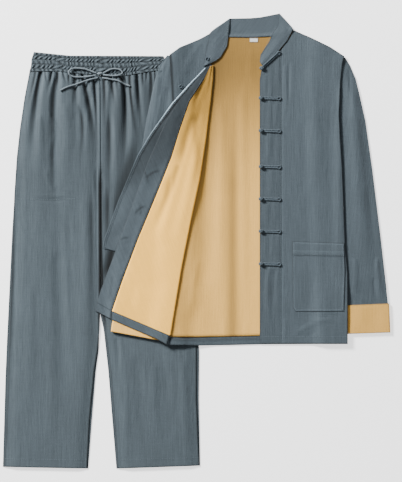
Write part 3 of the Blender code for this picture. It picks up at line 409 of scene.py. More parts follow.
# Long folds and short gathers under the waist, each with painted shade along its trough and a painted
# highlight beside it: x and y of three places, half width in cm, depth in mm
LEG_FOLDS = (
    (-39.4, 41.9, -39.9, 38.7, -41.9, 31.0, 0.6, 2.6),
    (-37.7, 41.9, -39.3, 35.1, -40.8, 17.0, 1.0, 3.8),
    (-34.0, 41.4, -34.1, 39.0, -34.9, 35.0, 0.6, 3.8),
    (-34.3, 39.4, -35.2, 31.6, -34.6, 19.0, 1.3, 2.8),
    (-34.3, 27.2, -35.3, 20.0, -34.6, 6.0, 1.0, 1.5),
    (-29.6, 41.6, -29.7, 37.5, -29.4, 31.0, 0.7, 3.6),
    (-29.5, 34.0, -27.9, 28.0, -29.0, 16.0, 0.9, 2.6),
    (-28.0, 40.8, -26.2, 32.6, -24.4, 21.0, 0.9, 4.8),
    (-25.3, 40.6, -24.7, 34.0, -24.2, 19.0, 0.5, 3.6),
    (-23.0, 40.4, -22.5, 36.0, -22.7, 24.0, 0.6, 3.2),
    (-20.9, 40.6, -20.5, 36.8, -19.9, 32.0, 0.5, 3.4),
    (-21.6, 31.6, -21.3, 24.0, -21.8, 6.0, 0.9, 2.4),
    (-18.9, 40.6, -17.4, 32.0, -18.4, 10.0, 0.9, 4.8),
    (-16.3, 40.6, -15.9, 34.0, -14.3, 23.6, 0.7, 3.8),
    (-14.6, 40.7, -14.2, 35.6, -13.2, 24.0, 0.6, 3.4),
    (-11.2, 41.4, -11.1, 36.5, -12.2, 29.0, 0.7, 3.0),
    (-37.0, 41.4, -36.9, 40.0, -36.5, 38.2, 0.34, 2.6),
    (-35.4, 41.5, -35.7, 39.6, -36.2, 37.2, 0.38, 2.8),
    (-38.4, 41.7, -38.5, 40.4, -38.8, 38.6, 0.3, 2.2),
    (-32.7, 41.3, -32.3, 39.8, -31.8, 38.0, 0.34, 2.4),
    (-31.1, 41.2, -31.2, 39.6, -31.0, 37.2, 0.34, 2.4),
    (-28.7, 40.9, -28.6, 39.0, -28.2, 36.4, 0.34, 2.6),
    (-26.5, 40.7, -26.3, 39.2, -25.9, 37.4, 0.3, 2.4),
    (-22.4, 40.5, -22.6, 38.3, -23.1, 35.4, 0.5, 2.8),
    (-21.3, 40.4, -21.4, 39.2, -21.6, 37.6, 0.35, 1.8),
    (-19.6, 40.2, -19.5, 38.6, -19.3, 36.6, 0.4, 2.2),
    (-17.6, 40.4, -17.4, 39.2, -17.2, 37.4, 0.3, 1.9),
    (-13.2, 41.0, -13.1, 39.4, -13.0, 37.4, 0.4, 2.2),
    (-12.2, 41.2, -12.3, 39.8, -12.6, 38.0, 0.35, 1.8),
    (-10.2, 41.5, -10.2, 39.6, -10.6, 37.0, 0.4, 2.2),
    (-21.8, 15.0, -21.8, 6.0, -22.2, -9.0, 1.4, 2.6),
    (-19.0, 12.0, -19.8, 4.0, -20.6, -8.0, 1.4, 2.8),
    (-26.0, 14.0, -25.6, 0.0, -25.8, -30.0, 1.2, 1.2),
    (-21.5, -1.6, -21.7, -6.0, -22.5, -11.0, 1.1, 3.0),
    (-16.4, 6.0, -18.0, 1.0, -20.2, -3.0, 1.0, 2.6),
    (-44.2, 14.0, -45.0, -12.0, -45.8, -44.0, 0.8, 1.0),
)
# Shade beside the turned front: x and y of three places, half width in cm, depth of shade in thousandths
LEG_SHADES = (
    (-14.6, 26.0, -17.6, 14.0, -21.6, 1.0, 2.2, 640),
    (-20.6, -0.6, -21.2, -5.0, -22.8, -12.0, 1.7, 1000),
)
# Small creases: x and y of three places, half width, height in mm (troughs are below zero)
LEG_CREASES = (
    (-36.4, 31.5, -34.5, 28.5, -32.6, 25.6, 0.5, 1.5),
    (-35.8, 31.5, -33.9, 28.6, -32.2, 25.2, 0.4, -0.9),
    (-40.0, 10.4, -35.0, 10.0, -30.6, 10.3, 0.5, -1.0),
    (-40.0, 11.2, -35.0, 10.9, -30.6, 11.1, 0.5, 0.6),
    (-35.9, 13.5, -33.6, 11.4, -31.2, 11.2, 0.5, 0.9),
    (-34.4, 14.8, -32.4, 12.6, -30.4, 12.2, 0.4, 0.8),
    (-43.7, 4.6, -42.8, 3.2, -42.2, 1.6, 0.5, 0.9),
    (-24.3, 17.6, -24.5, 15.0, -24.2, 11.0, 0.5, -1.2),
    (-23.4, 17.0, -22.8, 13.5, -23.2, 9.0, 0.5, -1.2),
    (-19.9, -24.2, -19.2, -26.5, -19.2, -33.0, 0.8, -1.4),
    (-18.6, -23.8, -18.4, -27.0, -18.2, -34.0, 0.7, 1.0),
    (-8.6, -27.4, -7.4, -33.0, -6.6, -42.0, 0.9, -0.9),
    (-38.2, 34.0, -38.6, 10.0, -38.2, -30.0, 2.2, 1.8),
    (-42.6, 20.0, -43.4, -5.0, -44.2, -40.0, 1.2, -1.2),
    (-27.6, 12.0, -27.2, -8.0, -28.6, -38.0, 1.6, 1.5),
    (-34.0, -2.0, -33.2, -18.0, -31.4, -44.0, 1.9, -2.0),
    (-31.5, 8.0, -30.4, -12.0, -30.0, -34.0, 1.2, -1.1),
    (-40.6, -10.0, -40.8, -28.0, -41.6, -50.0, 1.6, 1.4),
    (-36.0, -24.0, -35.4, -36.0, -35.8, -53.0, 1.4, 1.2),
    (-25.2, 16.0, -24.9, 2.0, -25.0, -20.0, 0.6, 1.2),
    (-38.6, 31.0, -38.0, 26.0, -38.4, 18.0, 1.0, 1.4),
    (-32.2, 34.0, -31.6, 26.0, -31.8, 16.0, 1.1, 1.6),
    (-36.6, 18.0, -36.0, 14.0, -33.0, 11.8, 0.8, 1.0),
    (-15.0, -28.0, -13.6, -38.0, -12.4, -50.0, 1.7, -1.3),
    (-9.8, -29.0, -10.4, -38.0, -9.6, -50.0, 1.3, 1.1),
    (-17.4, -34.0, -17.0, -42.0, -17.6, -52.0, 1.0, 1.0),
    (-3.4, -28.0, -3.0, -40.0, -2.6, -52.0, 1.2, 1.3),
)


def crease(plan, row, spread=0.6, start=0.12, end=0.45, lean=0.0):
    """Height of one soft crease along a bent line; it opens and fades, and may lean to its left side."""
    x1, y1, x2, y2, x3, y3, half_width, height = row
    t = np.linspace(0.0, 1.0, 9)[:, None]
    bend = 2 * np.array((x2, y2)) - (np.array((x1, y1)) + np.array((x3, y3))) / 2
    route = ((1 - t) ** 2 * np.array((x1, y1)) + 2 * t * (1 - t) * bend + t ** 2 * np.array((x3, y3))) * CM
    best = np.full(plan.shape[:2], 9.0)
    along = np.zeros(plan.shape[:2])
    right = np.zeros(plan.shape[:2])
    for k in range(8):
        a, b = route[k], route[k + 1]
        way = b - a
        s = np.clip(((plan - a) @ way) / (way @ way), 0.0, 1.0)
        off = plan - a - s[..., None] * way
        far = np.linalg.norm(off, axis=-1)
        nearer = far < best
        best = np.where(nearer, far, best)
        along = np.where(nearer, (k + s) / 8, along)
        right = np.where(nearer, np.sign(off[..., 0]), right)
    width = half_width * CM * (1.0 + spread * along) * (1.0 + lean * right)
    across = np.clip(best / width, 0.0, 1.0)
    fade = np.clip(along / start, 0.0, 1.0) if start else 1.0
    fade = fade * np.clip((1.0 - along) / end, 0.0, 1.0)
    fade = fade * fade * (3.0 - 2.0 * fade)
    return (0.5 + 0.5 * np.cos(math.pi * across)) * fade * height * 0.001


def creases(plan, rows, **ways):
    total = np.zeros(plan.shape[:2])
    for row in rows:
        total = total + crease(plan, row, **ways)
    return total


def soft_rim(sheet, drop=0.0005):
    """The same sheet with its border points a little lower, as a folded edge rounds off."""
    out = sheet.copy()
    out[0, :, 2] -= drop
    out[-1, :, 2] -= drop
    out[1:-1, 0, 2] -= drop
    out[1:-1, -1, 2] -= drop
    return out


def clear(z, plan, thickness, gap=0.0003, reach=1, passes=3):
    """Heights raised where needed, so that the cloth's underside clears what is laid already."""
    need = heap_under(plan, reach) + thickness + gap
    for turn in range(passes):
        z = soften(np.maximum(z, need), 1)
    return np.maximum(z, need)


leg_front_cloth = woven_cloth("trouser_front_cotton", TROUSER_TONE)
for side in ("left", "right"):
    leg = LEGS[side]
    a, b = leg["front"]
    rows = shares(LEG_FRONT_LONG)
    plan = patch(a, b, (a[0], b[0]), leg["seam"], shares(LEG_FRONT_WIDE, GATHER_CELL), rows)
    z = soften(heights([f"trouser_{side}_leg_front"], plan), 3)
    fold = np.zeros(plan.shape[:2])
    shade = np.zeros(plan.shape[:2])
    glow = np.zeros(plan.shape[:2])
    for row in LEG_FOLDS:
        start = 0.0 if row[1] > 38 else 0.4
        fold = np.maximum(fold, crease(plan, row, spread=0.9, start=start, end=0.7, lean=0.35))
        # Each fold also gets a narrow line of painted shade in its trough and a painted highlight on its lit
        # side.
        dark = (*row[:6], 0.42 * row[6] + 0.12, 1000 * min(0.35 + row[7] / 6.0, 1.0))
        shade = np.maximum(shade, crease(plan, dark, spread=0.5, start=start, end=0.6))
        aside = 0.8 * row[6] + 0.25
        lit = (row[0] + aside, row[1], row[2] + aside, row[3], row[4] + aside, row[5],
               0.5 * row[6] + 0.15, 1000)
        glow = np.maximum(glow, crease(plan, lit, spread=0.5, start=start, end=0.85))
    for row in LEG_SHADES:
        shade = np.maximum(shade, crease(plan, row, start=0.3, end=0.4))
    puff = GATHER_PUFF * np.clip((plan[..., 1] - GATHER_FROM) / GATHER_RISE, 0.0, 1.0) ** 1.5
    outer, inner = (0, -1) if side == "right" else (-1, 0)
    parted = np.clip((LEGS_MEET - plan[:, :1, 1]) / (LEGS_MEET - LEGS_PARTED), 0.0, 1.0)
    from_outer = np.linalg.norm(plan - plan[:, outer][:, None], axis=-1)
    from_inner = np.linalg.norm(plan - plan[:, inner][:, None], axis=-1)
    from_side = np.minimum(from_outer, from_inner + 0.05 * (1.0 - parted))
    edge = np.clip(from_side / 0.004, 0.0, 1.0)
    wide_edge = np.clip(from_side / 0.012, 0.0, 1.0)
    z = z + (creases(plan, LEG_CREASES) + puff) * wide_edge - fold * edge
    z = clear(z, plan, FRONT_CLOTH, passes=1)
    sheet = points_at(plan, z)
    # Painted shade darkens the fold troughs and the shade rows; painted highlights lighten the lit sides.
    tone = (1.0 - FOLD_SHADE * shade) * (1.0 + FOLD_HIGHLIGHT * glow * (1.0 - shade))
    # Painted shade along the outer edges, and along the inner edges below the crotch.
    at_rim = (from_outer < RIM_WIDE) | ((from_inner < RIM_WIDE) & (plan[..., 1] <= CROTCH))
    tone = tone * np.where(at_rim, RIM_SHADE, 1.0)
    # Along the inner edge: a painted shadow in the gap where the legs part, painted light by the fly where
    # they meet.
    gap_painted_shadow = parted * np.clip((plan[:, :1, 1] - CROTCH + 0.02) / 0.04, 0.0, 1.0)
    fly_painted_light_and_shadow = 1.0 + 0.2 * (1.0 - parted) - 0.9 * gap_painted_shadow
    tone = tone * np.where(from_inner < FLY_PAINTED_BAND[side], fly_painted_light_and_shadow, 1.0)
    # Painted shade growing towards the waist, and along the hem.
    tone = tone * (1.0 - LEG_WAIST_SHADE[side] * np.clip(plan[..., 1] / 0.10, 0.0, 1.0))
    tone[:2] *= 0.6
    obj = make_wall(f"trouser_{side}_front_cloth", soft_rim(sheet), sheet - (0, 0, FRONT_CLOTH),
                    leg_front_cloth, tone=tone, painted_rim_shading=())
    hand_over(obj, [f"trouser_{side}_leg_front"])
    pile(sheet)

# Waistband
# A casing of the trouser cotton, sewn down over four rows of elastic.
# The elastic shirrs its front into short crossed puffs; its back lies on the floor as one plain band.
BAND_CLOTH = 0.0012
WAIST_SEAM = LEGS["right"]["seam"] + LEGS["left"]["seam"][1:]
WAIST_TOP = ((-39.8, 46.3), (-35.9, 45.9), (-31.0, 45.4), (-8.1, 45.3))
WAIST_RIGHT_END = ((-40.9, 41.43), (-40.5, 42.9), (-40.4, 44.4), (-39.8, 46.3))
WAIST_LEFT_END = ((-7.3, 41.93), (-7.4, 43.6), (-8.1, 45.3))
ELASTIC_ROWS = (0.16, 0.40, 0.63, 0.85)
WAIST_WIDE = 0.33
BAND_TALL = 0.046
PUFF_CELL = 0.0011
BAND_BACK = 0.0020
PUFF_PITCH = 0.0068
PUFF_HEIGHT = 0.0027
PUFF_LEAN = 0.9

band_cloth = woven_cloth("waistband_cotton", TROUSER_TONE, slub=0.3)
seam = [(x, y + 0.03) for x, y in WAIST_SEAM]
plan = patch(WAIST_RIGHT_END, WAIST_LEFT_END, (seam[0], (-23.9, 40.53), seam[-1]), WAIST_TOP,
             shares(WAIST_WIDE, 0.008), shares(0.045, 0.008))
sheet = points_at(plan, BAND_BACK)
obj = make_wall("trouser_waist_back_cloth", sheet, points_at(plan, 0.0), band_cloth)
hand_over(obj, ["trouser_waist_back"])
pile(sheet)

rows = shares(BAND_TALL, PUFF_CELL)
plan = patch(WAIST_RIGHT_END, WAIST_LEFT_END, seam, WAIST_TOP, shares(WAIST_WIDE, PUFF_CELL), rows)
z = soften(heights(["trouser_waist_front"], plan), 4)
run = (plan[..., 0] - plan[:, :1, 0]) / PUFF_PITCH
drift = 0.8 * np.sin(run * 0.37) + 0.5 * np.sin(run * 0.83 + 1.0)
course = np.searchsorted(ELASTIC_ROWS, rows)
low = np.concatenate([[0.0], ELASTIC_ROWS])[course]
high = np.concatenate([ELASTIC_ROWS, [1.0]])[course]
between = ((rows - low) / (high - low))[:, None]
hump = np.sin(math.pi * between) ** 0.7
lean = PUFF_LEAN * (between - 0.5) * np.where(course % 2 == 0, 1.0, -1.0)[:, None]
wave = np.sin(2 * math.pi * (run + drift + lean) / 1.6 + course[:, None] * 2.1)
uneven = 0.7 + 0.3 * np.sin(run * 1.7 + course[:, None] * 1.3)
z = z + PUFF_HEIGHT * (hump * (0.3 + 0.7 * wave * uneven) - 0.35)
z = clear(z, plan, BAND_CLOTH, reach=0, passes=0)
sheet = points_at(plan, z)
# Painted shade in the hollows between the puffs and a painted highlight on their tops.
tone = 0.28 + 0.86 * np.clip(hump * (0.62 + 0.62 * wave * uneven), 0.0, 1.0) ** 0.8
obj = make_wall("trouser_waist_front_cloth", soft_rim(sheet), sheet - (0, 0, BAND_CLOTH), band_cloth,
                tone=tone)
hand_over(obj, ["trouser_waist_front"])
pile(sheet, split=2)

# Drawstring
# A narrow round cord plaited from the trouser cotton, tied in a bow over the front of the casing.
# Both of its ends are free and lie on the gathers.
CORD = 0.0040
CORD_TONE = (0.105, 0.130, 0.146)
PLAIT_PITCH = 0.006
BOW_KNOT_SIZE = (0.0135, 0.0085, 0.0075)
BOW_KNOT_GIRTH = 0.0036
BOW_KNOT = (-23.6, 40.9)
BOW = {
    "drawstring_right_loop": ((-24.6, 41.1), (-27.4, 42.1), (-30.2, 42.2), (-31.2, 41.2), (-30.2, 40.2),
                              (-27.4, 40.1), (-24.6, 40.5)),
    "drawstring_left_loop": ((-22.6, 41.2), (-20.6, 42.1), (-18.7, 41.9), (-18.1, 41.1), (-19.0, 40.5),
                             (-20.8, 40.4), (-22.6, 40.6)),
    "drawstring_right_end": ((-24.2, 39.9), (-26.6, 39.3), (-29.4, 38.3), (-31.6, 37.6), (-33.2, 36.8)),
    "drawstring_left_end": ((-22.9, 39.9), (-21.2, 39.6), (-19.2, 39.2), (-17.6, 38.4), (-16.3, 37.9)),
}


def twisted_cord(name, tone, pitch, turns_round=2.0):
    """Round plaited cord; the plait follows the cord's own length and girth."""
    mat = woven_cloth(name, tone, slub=0.08, mottle=0.04, depth=0.2)
    nodes = mat.node_tree.nodes
    links = mat.node_tree.links
    place = nodes.new("ShaderNodeUVMap")
    place.uv_map = "along"
    plait = nodes.new("ShaderNodeTexWave")
    plait.bands_direction = 'DIAGONAL'
    plait.inputs["Scale"].default_value = 1.0
    stretch = nodes.new("ShaderNodeMapping")
    stretch.inputs["Scale"].default_value = (turns_round * 0.31, 0.31 / pitch, 1.0)
    links.new(place.outputs["UV"], stretch.inputs["Vector"])
    links.new(stretch.outputs["Vector"], plait.inputs["Vector"])
    old = nodes["Bump"]
    bump = nodes.new("ShaderNodeBump")
    bump.inputs["Strength"].default_value = 0.7
    bump.inputs["Distance"].default_value = 0.0006
    links.new(plait.outputs["Fac"], bump.inputs["Height"])
    links.new(old.outputs["Normal"], bump.inputs["Normal"])
    links.new(bump.outputs["Normal"], nodes["Principled BSDF"].inputs["Normal"])
    return mat


def smooth_route(points, spacing):
    """Even points on a smooth curve through the given ones."""
    points = np.array(points, float)
    ends = np.concatenate([[2 * points[0] - points[1]], points, [2 * points[-1] - points[-2]]])
    fine = []
    for k in range(1, len(ends) - 2):
        p0, p1, p2, p3 = ends[k - 1:k + 3]
        for t in np.linspace(0, 1, 16, endpoint=False):
            fine.append(0.5 * (2 * p1 + (p2 - p0) * t + (2 * p0 - 5 * p1 + 4 * p2 - p3) * t ** 2
                               + (3 * p1 - p0 - 3 * p2 + p3) * t ** 3))
    fine = np.array(fine + [ends[-2]])
    run = np.concatenate([[0.0], np.cumsum(np.linalg.norm(np.diff(fine, axis=0), axis=1))])
    at = np.linspace(0, run[-1], max(5, round(run[-1] / spacing)) + 1)
    return np.stack([np.interp(at, run, fine[:, k]) for k in range(fine.shape[1])], axis=-1)


def make_cord(name, route, girth, material, flatness=1.0, around=12, closed=False):
    """Tube of rings along a route, with rounded caps, and a map of its own length and girth."""
    route = np.array(route, float)
    ways = np.gradient(route, axis=0)
    if closed:
        ways = np.roll(route, -1, axis=0) - np.roll(route, 1, axis=0)
    ways /= np.linalg.norm(ways, axis=1, keepdims=True)
    radii = np.full(len(route), girth / 2)
    centres = route
    if not closed:
        cap = girth / 2
        first = [route[0] - ways[0] * cap * k for k in (0.9, 0.5)]
        last = [route[-1] + ways[-1] * cap * k for k in (0.5, 0.9)]
        centres = np.concatenate([first, route, last])
        ways = np.concatenate([ways[:1], ways[:1], ways, ways[-1:], ways[-1:]])
        radii = np.concatenate([[0.4 * cap, 0.86 * cap], radii, [0.86 * cap, 0.4 * cap]])
    side = np.cross(ways, (0.0, 0.0, 1.0))
    side /= np.maximum(np.linalg.norm(side, axis=1, keepdims=True), 1e-6)
    up = np.cross(side, ways)
    turn = np.linspace(0, 2 * math.pi, around, endpoint=False)
    verts = (centres[:, None] + side[:, None] * (np.cos(turn)[:, None] * radii[:, None, None])
             + up[:, None] * (np.sin(turn)[:, None] * radii[:, None, None] * flatness)).reshape(-1, 3)
    count = len(centres)
    rings = count if closed else count - 1
    faces = []
    for k in range(rings):
        for j in range(around):
            a, b = k * around + j, k * around + (j + 1) % around
            c, d = (a + around) % len(verts), (b + around) % len(verts)
            faces.append((a, b, d, c))
    if not closed:
        faces.append(tuple(range(around))[::-1])
        faces.append(tuple(range(len(verts) - around, len(verts))))
    mesh = bpy.data.meshes.new(name)
    mesh.from_pydata(verts.tolist(), [], faces)
    run = np.concatenate([[0.0], np.cumsum(np.linalg.norm(np.diff(centres, axis=0), axis=1))])
    layer = mesh.uv_layers.new(name="along")
    for face in mesh.polygons:
        for loop, vert in zip(face.loop_indices, face.vertices):
            ring, spot = divmod(vert, around)
            turn_share = spot / around + (1.0 if spot == 0 and face.index % around == around - 1 else 0.0)
            layer.data[loop].uv = (turn_share, run[ring])
    tones = mesh.attributes.new("tone", 'FLOAT', 'POINT')
    tones.data.foreach_set("value", np.ones(len(verts), np.float32))
    mesh.polygons.foreach_set("use_smooth", [True] * len(mesh.polygons))
    mesh.materials.append(material)
    mesh.update()
    made = bpy.data.objects.new(name, mesh)
    bpy.context.scene.collection.objects.link(made)
    return made


def laid_route(route, girth, spacing, lift=0.0, reach=1):
    """Smooth route in centimetres, laid on the heap."""
    plan = smooth_route(np.array(route, float) * CM, spacing)
    need = heap_under(plan[None], reach)[0]
    z = need.copy()
    for turn in range(10):
        z = np.maximum(np.convolve(np.pad(z, 1, mode="edge"), (0.25, 0.5, 0.25), mode="valid"), need)
    return np.column_stack([plan, z + girth / 2 + 0.0002 + lift])


def bind_knot(name, centre, size, girth, material, leads=3, bights=4):
    """Ball knot: one closed cord that winds over and under itself round a ball."""
    t = np.linspace(0, 2 * math.pi * leads, 48 * leads, endpoint=False)
    rise = 0.95 * np.sin(t * bights / leads)
    wind = 1.0 + 0.10 * np.cos(t * bights / leads * 2.0)
    ball = np.stack([np.cos(t) * np.cos(rise) * wind, np.sin(rise), np.sin(t) * np.cos(rise) * wind], axis=1)
    half_size = (np.array(size) - girth) / 2
    return make_cord(name, np.array(centre) + ball * half_size, girth, material, around=8, closed=True)


cord_cotton = twisted_cord("drawstring_cotton", CORD_TONE, PLAIT_PITCH)
bow = {}
for name, route in BOW.items():
    points = laid_route(route, CORD, 0.0028, lift=0.0004 if name.endswith("end") else 0.0)
    bow[name] = (make_cord(name + "_cord", points, CORD, cord_cotton), points)
for name, (obj, points) in bow.items():
    pile(np.stack([points - (0.001, 0, -CORD / 2), points + (0.001, 0, CORD / 2)]))
x, y = BOW_KNOT
top = heap_under(np.array([[(x * CM, y * CM)]]), 2)[0, 0]
knot = bind_knot("drawstring_bow_knot", (x * CM, y * CM, top + 0.0016), BOW_KNOT_SIZE, BOW_KNOT_GIRTH,
                 cord_cotton, bights=2)
hand_over(knot, ["drawstring_knot"])
for name, (obj, points) in bow.items():
    hand_over(obj, [name])
    long = float(np.linalg.norm(np.diff(points, axis=0), axis=1).sum())

# Sleeves
# Tubes of the jacket cotton, pressed flat; a seam joins each to its armhole under the body's edge.
# The left one lies on the floor, the right one on the trousers, under the body and the turned front.
JACKET_TONE = (0.054, 0.071, 0.083)
SLEEVE_WALL = 0.0010
SLEEVE_WIDE = 0.15
SLEEVE_CELL = 0.003
SLEEVE_CROWN = 0.0022
SLEEVES = {
    "right": (((-20.5, -21.8), (-17.2, -2.2), (-13.6, 19.9), (-12.2, 29.2), (-10.1, 39.0), (-8.9, 42.9),
               (-7.1, 45.4)),
              ((-5.8, -24.5), (-3.3, -4.6), (-2.1, 22.3), (-3.0, 41.9), (-3.5, 45.1))),
    "left": (((32.2, -22.5), (32.5, -4.6), (33.2, 19.9), (32.7, 37.0), (32.7, 44.9)),
             ((47.1, -22.0), (46.8, -15.4), (45.1, 0.3), (43.0, 17.4), (41.3, 29.4), (38.9, 39.7),
              (37.6, 42.9), (36.3, 45.0))),
}
SLEEVE_CREASES = {
    "right": (
        (-9.6, 42.0, -10.6, 32.0, -12.6, 20.0, 1.4, 2.2),
        (-7.0, 38.0, -7.6, 31.0, -9.0, 24.0, 0.9, -1.6),
        (-8.8, 36.0, -9.2, 31.5, -10.6, 26.0, 0.5, 0.8),
    ),
    "left": (
        (38.0, 40.0, 39.6, 16.0, 41.4, -14.0, 2.4, 3.2),
        (41.8, 14.0, 43.2, 0.0, 44.8, -14.0, 1.3, -1.2),
        (44.2, -4.0, 44.6, -9.0, 45.4, -15.0, 0.7, 1.6),
        (43.4, -9.0, 43.6, -12.0, 44.4, -15.4, 0.5, -1.2),
        (38.2, -12.0, 40.4, -14.2, 43.0, -15.2, 0.6, 1.1),
        (38.6, -4.0, 39.0, -9.0, 38.2, -15.0, 0.9, 1.3),
        (37.3, 42.5, 37.6, 36.0, 37.2, 28.0, 0.6, -1.0),
    ),
}
CUFF_SHARE = 0.098
CUFF_REACH = 0.004
# Painted light on the cuffs, much more on the right one than on the left
CUFF_PAINTED_LIGHT = {"right": 1.6, "left": 1.1}
LINING_TONE = (0.545, 0.305, 0.066)


def make_tube(name, plan, low_z, high_z, wall, material, painted_light=1.0):
    """Flat open tube: a wall round a closed ring of points, with rounded sides."""
    def ring(inwards):
        top = points_at(plan, high_z - inwards)
        bottom = points_at(plan, low_z + inwards)
        sides = []
        for here, there in ((-1, -2), (0, 1)):
            out = plan[:, here] - plan[:, there]
            out = out / np.linalg.norm(out, axis=-1, keepdims=True)
            middle = (high_z[:, here] + low_z[:, here]) / 2
            radius = (high_z[:, here] - low_z[:, here]) / 2 - inwards
            angles = (45, 0, -45) if here == -1 else (-45, 0, 45)
            for angle in np.radians(angles):
                spot = plan[:, here] + out * (radius * 0.7 * math.cos(angle))[:, None]
                sides.append(np.column_stack([spot, middle + radius * math.sin(angle)]))
        return np.stack([*top.swapaxes(0, 1), *sides[:3], *bottom[:, ::-1].swapaxes(0, 1), *sides[3:],
                         top[:, 0]], axis=1)

    outer = ring(0.0)
    # Its tone carries a painted light factor, and its ends get painted rim shading.
    tone = np.full(outer.shape[:2], painted_light)
    return make_wall(name, outer, ring(wall), material, closed=True, tone=tone)


sleeve_cloth = woven_cloth("sleeve_cotton", JACKET_TONE, turn=5.0)
cuff_cloth = woven_cloth("cuff_lining_cotton", LINING_TONE, slub=0.14, mottle=0.06, depth=0.4)
for side, (left_line, right_line) in SLEEVES.items():
    ends = (left_line[0], right_line[0]), (left_line[-1], right_line[-1])
    rows = shares(length_of(left_line))
    plan = patch(left_line, right_line, *ends, shares(SLEEVE_WIDE, SLEEVE_CELL), rows)
    node = f"jacket_{side}_sleeve"
    top = soften(heights([node], plan), 6)
    bottom = np.maximum(soften(heights([node], plan, upward=True), 2), heap_under(plan, 0) + 0.0003)
    if side == "left":
        bottom = np.where(rows[:, None] < 1.5 * CUFF_SHARE, bottom, 0.0)
    inset = np.minimum(np.linalg.norm(plan - plan[:, :1], axis=-1),
                       np.linalg.norm(plan - plan[:, -1:], axis=-1))
    crown = SLEEVE_CROWN * np.clip(inset / 0.022, 0, 1) * np.clip((rows[:, None] - CUFF_SHARE) / 0.1, 0, 1)
    top = np.maximum(top + crown + creases(plan, SLEEVE_CREASES[side]), bottom + 2 * SLEEVE_WALL + 0.0004)
    obj = make_tube(f"jacket_{side}_sleeve_cloth", plan, bottom, top, SLEEVE_WALL, sleeve_cloth)
    hand_over(obj, [node])
    pile(points_at(plan, top))

# Cuffs
# Each sleeve end is turned up once over itself and pressed.
# A band of the tan lining so goes round the outside of the blue cloth.
CUFF_WALL = 0.0009
CUFF_TALL = 0.07
for side, (left_line, right_line) in SLEEVES.items():
    node = f"jacket_{side}_cuff"
    ends = (left_line[0], right_line[0]), (left_line[-1], right_line[-1])
    rows = CUFF_SHARE * shares(CUFF_TALL, SLEEVE_CELL)
    plan = patch(left_line, right_line, *ends, shares(SLEEVE_WIDE, SLEEVE_CELL), rows)
    way = (plan[:1] - plan[-1:]) / np.linalg.norm(plan[:1] - plan[-1:], axis=-1, keepdims=True)
    plan = plan + way * (CUFF_REACH * (1 - rows / CUFF_SHARE))[:, None, None]
    wide = np.linspace(-1, 1, plan.shape[1])[None, :, None]
    plan = plan + (plan[:, -1:] - plan[:, :1]) / SLEEVE_WIDE * wide * 0.0012
    top = np.maximum(soften(heights([node], plan), 4), heap_under(plan, 1) + 0.0012)
    wave = np.sin(plan[..., 0] * 95.0 + 1.0) * np.sin(rows / CUFF_SHARE * 2.6)[:, None]
    top = top + 0.0006 * (1 + wave)
    bottom = np.maximum(soften(heights([node], plan, upward=True), 2), 0.0)
    if side == "right":
        bottom = np.maximum(bottom, 0.0005)
    obj = make_tube(f"jacket_{side}_cuff_cloth", plan, bottom, top, CUFF_WALL, cuff_cloth,
                    CUFF_PAINTED_LIGHT[side])
    hand_over(obj, [node])
    pile(points_at(plan, top))

# Jacket back
# The back panel of the blue cotton, lying with its inside up.
# The tan lining is sewn inside it and, along the hem, to a strip of the blue cloth turned up as a facing.
SHELL = 0.0010
INNER = 0.0008
BODY_CELL = 0.0042
BACK_WIDE = 0.435
BACK_LONG = 0.771
# Place across the back of the painted shade along the lining's middle fold
MIDDLE_FOLD_X = 0.088
BACK_RIGHT_SIDE = ((-6.8, -25.4), (-6.8, -14.4), (-6.3, -0.5), (-5.6, 17.9), (-5.5, 24.8), (-5.7, 30.9),
                   (-6.3, 40.7), (-6.6, 45.5))
BACK_LEFT_SIDE = ((37.0, -25.2), (37.0, -8.0), (36.4, -0.5), (35.7, 17.9), (35.2, 24.8), (34.9, 30.9),
                  (35.2, 38.3), (35.7, 43.2), (36.2, 45.2))
BACK_TOP = ((-6.6, 45.5), (-4.0, 47.4), (0.9, 49.5), (3.3, 50.8), (4.3, 50.3), (8.7, 50.0), (18.0, 50.1),
            (22.4, 50.8), (23.7, 51.7), (27.8, 49.9), (32.7, 47.5), (36.2, 45.2))
BACK_HEM = ((-6.8, -25.4), (0.9, -25.6), (8.2, -25.5), (15.6, -25.3), (37.0, -25.2))
HEM_STRIP = 0.019
LINING_FOLDS = (
    (8.9, 33.0, 8.6, 8.0, 8.9, -23.0, 1.3, -2.6),
    (6.2, 36.0, 5.9, 8.0, 5.0, -22.0, 1.5, 1.6),
    (11.4, 40.0, 11.4, 8.0, 11.8, -22.0, 1.5, 1.6),
    (14.4, 22.0, 14.0, 0.0, 14.3, -23.0, 0.9, -1.0),
    (3.6, 2.0, 2.4, -10.0, 1.6, -22.0, 1.0, -1.1),
    (0.4, -4.0, -0.8, -12.0, -1.6, -22.0, 0.9, 1.2),
    (9.4, 47.0, 9.9, 42.0, 9.6, 34.0, 1.2, -1.0),
    (13.6, 47.5, 13.2, 42.0, 13.8, 36.0, 0.8, 0.7),
    (6.9, -19.0, 6.9, -21.5, 7.0, -23.4, 0.5, 0.7),
    (12.3, -19.5, 12.4, -21.5, 12.2, -23.4, 0.5, 0.6),
)
ROLL_LINE = ((-6.6, -23.0), (-5.2, -14.4), (-4.0, -7.1), (-1.6, 5.2), (0.4, 15.0), (2.0, 24.8), (3.3, 34.6),
             (3.8, 39.5), (3.9, 42.9))
# Painted shade inside the neck, and painted light towards the hem: y in cm, share of the cloth's tone
NECK_SHADE = ((-26.0, 1.40), (10.0, 1.38), (17.4, 1.25), (22.3, 1.10), (27.2, 0.94), (32.0, 0.76),
              (37.0, 0.56), (40.7, 0.45), (44.0, 0.41), (50.0, 0.46))


def read_off(y, rows):
    """Value read off a short table of height in cm and value, for heights in metres."""
    places, values = np.array(rows, float).T
    return np.interp(y, places * CM, values)


